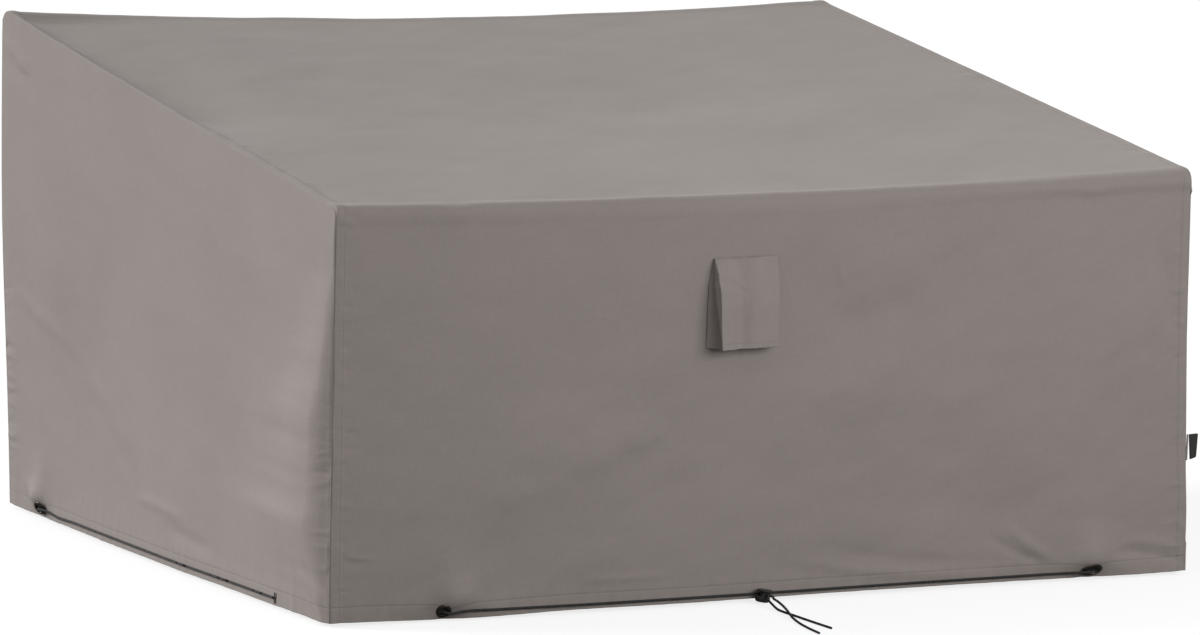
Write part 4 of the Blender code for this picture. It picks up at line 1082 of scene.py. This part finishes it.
def sheet_object(name, panel, rows):
    """A closed thin sheet: the panel's outer face over those rows, and a coarser inner one."""
    outer = panel.points[rows]
    normals = panel.normals[rows]
    count_up, count_on = outer.shape[:2]
    kept_up = sorted(set(range(0, count_up, INNER_STEP)) | {count_up - 1})
    kept_on = sorted(set(range(0, count_on, INNER_STEP)) | {count_on - 1})
    inner = (outer - normals * SHEET)[np.ix_(kept_up, kept_on)]
    ids = np.arange(count_up * count_on).reshape(count_up, count_on)
    low = np.arange(inner.shape[0] * inner.shape[1]).reshape(inner.shape[:2]) + ids.size
    quads = [np.stack([g[:-1, :-1], g[:-1, 1:], g[1:, 1:], g[1:, :-1]], axis=-1).reshape(-1, 4)
             for g in (ids, low)]
    faces = quads[0].tolist() + quads[1][:, ::-1].tolist()
    faces += strip(ids[0], low[0], kept_on)
    faces += strip(ids[:, -1], low[:, -1], kept_up)
    faces += [face[::-1] for face in strip(ids[-1], low[-1], kept_on)]
    faces += [face[::-1] for face in strip(ids[:, 0], low[:, 0], kept_up)]
    points = np.concatenate([outer.reshape(-1, 3), inner.reshape(-1, 3)]).tolist()
    place = np.stack([panel.along[rows], panel.up[rows]], axis=-1)
    inner_place = place[np.ix_(kept_up, kept_on)]
    uv = np.concatenate([place.reshape(-1, 2), inner_place.reshape(-1, 2)])
    made = meshed(name, points, faces, [MATERIALS["cloth"]], ("cloth", uv))
    corners = corner_vertices(made.data)
    outside = len(quads[0]) * 4
    own = np.zeros((len(corners), 3))
    own[:outside] = normals.reshape(-1, 3)[corners[:outside]]
    made.data.normals_split_custom_set(own.tolist())
    return made


def place_evenly(points, normals, pitch):
    """Points, tangents and normals that far apart along a line."""
    reach = distances(points, 0)
    stops = np.arange(pitch / 2, reach[-1], pitch)

    def read(values, places):
        return np.stack([np.interp(places, reach, values[:, k]) for k in range(3)], axis=1)

    ahead = read(points, stops + TANGENT_STEP)
    behind = read(points, stops - TANGENT_STEP)
    return read(points, stops), unit(ahead - behind), unit(read(normals, stops))


class Threads:
    """Many small thread capsules in one mesh."""
    SIDES = 5
    RINGS = ((-0.36, 0.80), (0.0, 1.0), (0.36, 0.80))   # place along a thread, girth
    SUNK = 0.4               # a thread's two ends are sunk by this share of its thickness

    def __init__(self):
        self.points = []
        self.faces = []

    def add(self, at, along, normal, long=STITCH_LONG, thick=STITCH_THICK):
        base = len(self.points)
        across = np.cross(along, normal)
        for share, girth in self.RINGS:
            for a in turns(self.SIDES):
                ring = across * math.cos(a) + normal * math.sin(a)
                self.points.append(at + along * long * share + ring * thick / 2 * girth)
        last = len(self.points) - self.SIDES
        tip, end = len(self.points), len(self.points) + 1
        self.points += [at + along * long * half - normal * thick * self.SUNK for half in (-0.5, 0.5)]
        self.faces += ring_faces(len(self.RINGS), self.SIDES, base)
        for k in range(self.SIDES):
            m = (k + 1) % self.SIDES
            self.faces += [(tip, base + m, base + k), (end, last + k, last + m)]

    def add_row(self, line):
        for at, along, up in zip(*place_evenly(*line, STITCH_PITCH)):
            self.add(at + up * STITCH_LIFT, along, up)

    def made(self, name, material):
        return meshed(name, self.points, self.faces, [material])


def tube(name, path, radius, material):
    """A round cord along a path, with (around, along) in metres as its UV map, closed at the ends."""
    path = np.array(path, float)
    tangents = unit(np.gradient(path, axis=0))
    side = unit(np.cross(tangents[0], CORD_ACROSS))
    points, uv = [], []
    for point, tangent, run in zip(path, tangents, distances(path, 0)):
        side = unit(side - tangent * side.dot(tangent))
        other = np.cross(tangent, side)
        for a in turns(CORD_SIDES):
            points.append(point + (side * math.cos(a) + other * math.sin(a)) * radius)
            uv.append((radius * a, run))
    last = (len(path) - 1) * CORD_SIDES
    faces = ring_faces(len(path), CORD_SIDES)
    faces += [tuple(range(CORD_SIDES))[::-1], tuple(range(last, last + CORD_SIDES))]
    return meshed(name, points, faces, [material], ("cord", np.array(uv)))


def spline(points, steps):
    """Points on a smooth curve through the given ones, that many in each span however long."""
    pts = [Vector(p) for p in points]
    spans = [(b - a).length for a, b in zip(pts, pts[1:])]
    slopes = [(b - a) / d for a, b, d in zip(pts, pts[1:], spans)]
    tangents = [slopes[0]]
    for i in range(1, len(pts) - 1):
        before, after = spans[i - 1], spans[i]
        tangents.append((slopes[i - 1] * after + slopes[i] * before) / (before + after))
    tangents.append(slopes[-1])
    out = []
    for i, span in enumerate(spans):
        for step in range(steps):
            t = step / steps
            out.append(pts[i] * (2 * t ** 3 - 3 * t * t + 1) + pts[i + 1] * (3 * t * t - 2 * t ** 3)
                       + tangents[i] * span * (t ** 3 - 2 * t * t + t)
                       + tangents[i + 1] * span * (t ** 3 - t * t))
    return out + [pts[-1]]


def softened(name, node, voxel, rounds, material, relief=None, plane=(0, 2)):
    """A close even mesh of a small cloth solid, with its edges softened and a given relief."""
    mesh = NODES[node].data.copy()
    shape = bmesh.new()
    shape.from_mesh(mesh)
    bmesh.ops.remove_doubles(shape, verts=shape.verts, dist=MERGED)
    shape.to_mesh(mesh)
    shape.free()
    source = placed(f"{name}_source", mesh)
    remesh = source.modifiers.new("even", "REMESH")
    remesh.mode = "VOXEL"
    remesh.voxel_size = voxel
    evaluated = source.evaluated_get(bpy.context.evaluated_depsgraph_get())
    fine = bpy.data.meshes.new_from_object(evaluated)
    bpy.data.objects.remove(source)
    shape = bmesh.new()
    shape.from_mesh(fine)
    for _ in range(rounds):
        bmesh.ops.smooth_vert(shape, verts=shape.verts, factor=SOFTENING, use_axis_x=True,
                              use_axis_y=True, use_axis_z=True)
    shape.to_mesh(fine)
    shape.free()
    co = np.array([v.co for v in fine.vertices])
    if relief is not None:
        co = co + relief(co)
        fine.vertices.foreach_set("co", co.ravel())
    fine.materials.clear()
    set_uv(fine, "cloth", co[:, list(plane)])
    shade_smooth(fine)
    fine.name = name
    return link(name, fine, [material])


# ---- fittings -----------------------------------------------------------------------------------
def ride(piece, node=None):
    """Puts a piece on the cover's body, in place of the node if there is one."""
    if node is not None:
        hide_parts(node)
    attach(piece, BODY)
    return piece


def make_eyelet(name, outward):
    """A clenched ring with a rolled lip, as wide, tall and turned as its solid."""
    co = vertices_of(name)
    centre = (co.min(0) + co.max(0)) / 2
    _, _, axes = np.linalg.svd(co - centre, full_matrices=False)
    axis = axes[2] * np.sign(axes[2].dot(outward))
    first = axes[0]
    second = np.cross(axis, first)
    first, second = (way * np.abs((co - centre) @ way).max() for way in (first, second))
    base = centre + axis * (((co - centre) @ axis).max() - EYELET_TOP)
    points = [base + (first * math.cos(a) + second * math.sin(a)) * radius + axis * height
              for radius, height in EYELET_PROFILE for a in turns(EYELET_SIDES)]
    made = meshed(name.replace("eyelet", "eyelet_ring"), points,
                  ring_faces(len(EYELET_PROFILE), EYELET_SIDES),
                  [MATERIALS["eyelet_metal"], MATERIALS["eyelet_hole_shade"]])
    # the bore and the flat disc across the hole take the painted hole shade
    for k, polygon in enumerate(made.data.polygons):
        polygon.material_index = int(k // EYELET_SIDES >= EYELET_SHADE_FROM)
    return ride(made, name)


def make_held_cord(node, axis):
    """A held run of cord, along the middle line of its solid."""
    co = vertices_of(node)
    low, high = co[:, axis].min(), co[:, axis].max()
    stops = np.arange(low + HELD_REACH, high - HELD_REACH, CORD_STEP)
    weights = np.exp(-0.5 * ((co[:, axis][None] - stops[:, None]) / HELD_REACH) ** 2)
    middle = weights @ co / weights.sum(1)[:, None]
    first = co[co[:, axis] < low + CORD_END].mean(0)
    last = co[co[:, axis] > high - CORD_END].mean(0)
    path = np.concatenate([[first], middle, [last]])
    return ride(tube(f"{node}_braid", path, CORD / 2, MATERIALS["cord_black"]), node)


def port(name, out):
    """A place that far outside the lock's neck, before the port of that tail."""
    angle = math.radians(PORTS[name])
    reach = NECK_RADIUS + out
    lean = Matrix.Translation(LOCK_FOOT) @ Matrix.Rotation(LOCK_LEAN, 4, "Y")
    return lean @ Vector((math.cos(angle) * reach, math.sin(angle) * reach, CORD_PORT_UP))


def make_tail(name, route):
    points = [*[port(name, out) for out in PORT_OUT], *route]
    path = [p + TO_FRAME for p in spline(points, TAIL_STEPS)]
    made = tube(f"{name}_cord", path, CORD / 2, MATERIALS["cord_black"])
    ride(made, f"drawstring_{name}")


def make_bartack(node, outward):
    """A bar of satin stitches over the cord's end."""
    low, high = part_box(node)
    centre = np.array((low + high) / 2)
    threads = Threads()
    out = np.array(outward, float)
    half = abs((np.array(high) - np.array(low)) @ out) / 2
    count = int((high.z - low.z) / SATIN_PITCH)
    for z in np.linspace(low.z + SATIN_IN, high.z - SATIN_IN, count):
        at = np.array([centre[0], centre[1], z]) + out * (half - SATIN_DEEP)
        threads.add(at, np.array([0.0, 1.0, 0.0]), out, high.y - low.y, SATIN_THICK)
    return ride(threads.made(f"{node}_threads", MATERIALS["tape_black"]), node)


def hood_relief(co):
    """Soft waves and pinches of the hood's flap, more at its upper left, and its gussets drawn in."""
    x = co[:, 0] - HOOD_MIDDLE[0]
    z = co[:, 2] - HOOD_MIDDLE[1]
    low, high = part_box("vent_hood")
    stands = mix(*HOOD_STANDS, np.clip((co[:, 2] - low.z) / (high.z - low.z), 0.0, 1.0))
    through = np.clip((high.y - co[:, 1]) / stands, 0.0, 1.0)
    rise = sum(tall * bell(x - place, half) for place, half, tall in HOOD_WAVES)
    along = x - PINCH_FROM
    for place, lean, half, tall in HOOD_PINCHES:
        off = z - place - lean * along + PINCH_BEND * along ** 2
        rise += tall * bell(off, half) * smooth((PINCH_TO - x) / PINCH_FADE)
    rise += FLAP_RIPPLE * wave(x, FLAP_RIPPLE_LONG, 1.0) * smooth((FLAP_RIPPLE_TO - z) / FLAP_RIPPLE_FADE)
    rise += FLARE * bell(x - FLARE_PLACE[0], FLARE_HALF) * bell(z - FLARE_PLACE[1], FLARE_HALF)
    moved = np.zeros_like(co)
    moved[:, 1] = -rise * smooth((through - FLAP_FROM) / FLAP_OVER)
    left, right = (smooth((side * x - HOOD_GUSSET) / HOOD_GUSSET_OVER) for side in (-1.0, 1.0))
    moved[:, 0] = HOOD_TUCK * stands * arch(through) * (left - right)
    return moved


def hood_stitches(threads, hood):
    tree = tree_of(hood.data)
    low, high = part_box("vent_hood")
    hits = [tree.ray_cast(Vector((x, -1.0, low.z + FLAP_HEM)), Vector((0, 1, 0)))
            for x in np.linspace(low.x + FLAP_HEM_IN, high.x - FLAP_HEM_IN, FLAP_HEM_POINTS)]
    points, normals = zip(*[hit[:2] for hit in hits if hit[0] is not None])
    threads.add_row((np.array(points), np.array(normals)))


# ---- making the cover ---------------------------------------------------------------------------
def make_cloth():
    """The cloth's pieces, and its rows of stitches so far."""
    main, first = make_main_grid()
    left = make_side_grid("left", main, first, SIDE_PITCH, SIDE_UP_PITCH)
    right = make_side_grid("right", main, first, FAR_PITCH, FAR_UP_PITCH)
    add_main_creases(main, first)
    add_side_creases(left, "left", LEFT_SEED)
    add_side_creases(right, "right", RIGHT_SEED)
    threads = Threads()
    for panel in (main, left, right):
        panel.raised()
        threads.add_row(panel.level_line(HEM_STITCH))
    threads.add_row(main.level_line(float(main.length.mean()) - HEM_STITCH))
    threads.add_row(main.edge_line(BAND_STITCH))
    threads.add_row(main.edge_line(BAND_STITCH, True))
    rows = len(main.up)
    cuts = (0, first["top"] + FRONT_ONTO_TOP, first["back_turn"] - FRONT_ONTO_TOP, rows)
    pieces = [(name, main, slice(a, min(b + 1, rows)), "main_panel")
              for name, a, b in zip(("cover_front", "cover_top", "cover_back"), cuts, cuts[1:])]
    for side, panel in (("left", left), ("right", right)):
        pieces.append((f"cover_side_{side}", panel, slice(0, len(panel.up)), f"side_panel_{side}"))
    made = {name: ride(sheet_object(name, panel, part), node)
            for name, panel, part, node in pieces}
    return made, threads


def make_fittings(threads):
    hood = softened("hood_flap", "vent_hood", HOOD_VOXEL, HOOD_ROUNDS, MATERIALS["cloth"], hood_relief)
    ride(hood, "vent_hood")
    hood_stitches(threads, hood)
    for node, plane, look, slot in (("tab_strip", (1, 2), "cloth", "tab_cloth"),
                                    ("tab_tape", (0, 2), "tape_black", "tape_black")):
        tab = softened(f"{node}_folded", node, TAB_VOXEL, TAB_ROUNDS, MATERIALS[look], plane=plane)
        ride(tab, node)
    for name in FRONT_EYELETS:
        make_eyelet(name, (0, -1, 0))
    for side, outward in OUTWARD.items():
        make_eyelet(f"eyelet_side_{side}", outward)
        make_held_cord(f"drawstring_{side}", 0)
        make_held_cord(f"side_cord_{side}", 1)
        make_bartack(f"bartack_{side}", outward)
    for node in ("lock_drum", "lock_plunger"):
        for slot in NODES[node].material_slots:
            slot.material = MATERIALS["lock_plastic"]
    return hood


# ---- camera, light and floor --------------------------------------------------------------------
def make_camera():
    azimuth, elevation = CAMERA_AZIMUTH, CAMERA_ELEVATION
    away = Vector((math.sin(azimuth) * math.cos(elevation), -math.cos(azimuth) * math.cos(elevation),
                   math.sin(elevation)))
    level = (-away).cross(Vector((0, 0, 1))).normalized()
    upright = level.cross(-away)
    right = math.cos(CAMERA_ROLL) * level + math.sin(CAMERA_ROLL) * upright
    up = math.cos(CAMERA_ROLL) * upright - math.sin(CAMERA_ROLL) * level
    matrix = Matrix((right, up, away)).transposed().to_4x4()
    matrix.translation = CAMERA_PLACE
    data = bpy.data.cameras.new("camera")
    data.lens = CAMERA_LENS
    data.sensor_width = CAMERA_SENSOR
    data.clip_end = 100.0
    camera = placed("camera", data)
    camera.matrix_world = matrix
    bpy.context.scene.camera = camera


def make_light(name, kind, power, back, place=(0.0, 0.0, 0.0)):
    """A light that shines against the direction back; gives its data."""
    data = bpy.data.lights.new(name, kind)
    data.energy = power
    light = placed(name, data)
    light.location = place
    light.rotation_euler = Vector(back).to_track_quat("Z", "Y").to_euler()
    return data


def make_stage():
    world = bpy.data.worlds.new("studio")
    world.use_nodes = True
    background = world.node_tree.nodes["Background"]
    background.inputs["Color"].default_value = (1.0, 1.0, 1.0, 1.0)
    path = world.node_tree.nodes.new("ShaderNodeLightPath")
    strength = world.node_tree.nodes.new("ShaderNodeMapRange")
    strength.inputs["To Min"].default_value = WORLD_LIGHT
    strength.inputs["To Max"].default_value = 1.0
    world.node_tree.links.new(path.outputs["Is Camera Ray"], strength.inputs["Value"])
    world.node_tree.links.new(strength.outputs["Result"], background.inputs["Strength"])
    bpy.context.scene.world = world
    bpy.context.scene.view_settings.view_transform = "Standard"
    half = FLOOR / 2
    corners = [(-half, -half, 0), (half, -half, 0), (half, half, 0), (-half, half, 0)]
    meshed("floor", corners, [(0, 1, 2, 3)], [floor_material()])
    make_light("key", "SUN", SUN_LIGHT, SUN_FROM).angle = SUN_SOFTNESS
    fill = make_light("fill", "AREA", FILL_WATTS, FILL_PLACE - FILL_AIM, FILL_PLACE)
    fill.shape = "RECTANGLE"
    fill.size, fill.size_y = FILL_SIZE


make_stage()
make_camera()
make_tail("tail_one", TAIL_ONE)
make_tail("tail_two", TAIL_TWO)
cloth, sewing = make_cloth()
hood_flap = make_fittings(sewing)
stitching = ride(sewing.made("cover_stitching", MATERIALS["thread"]))
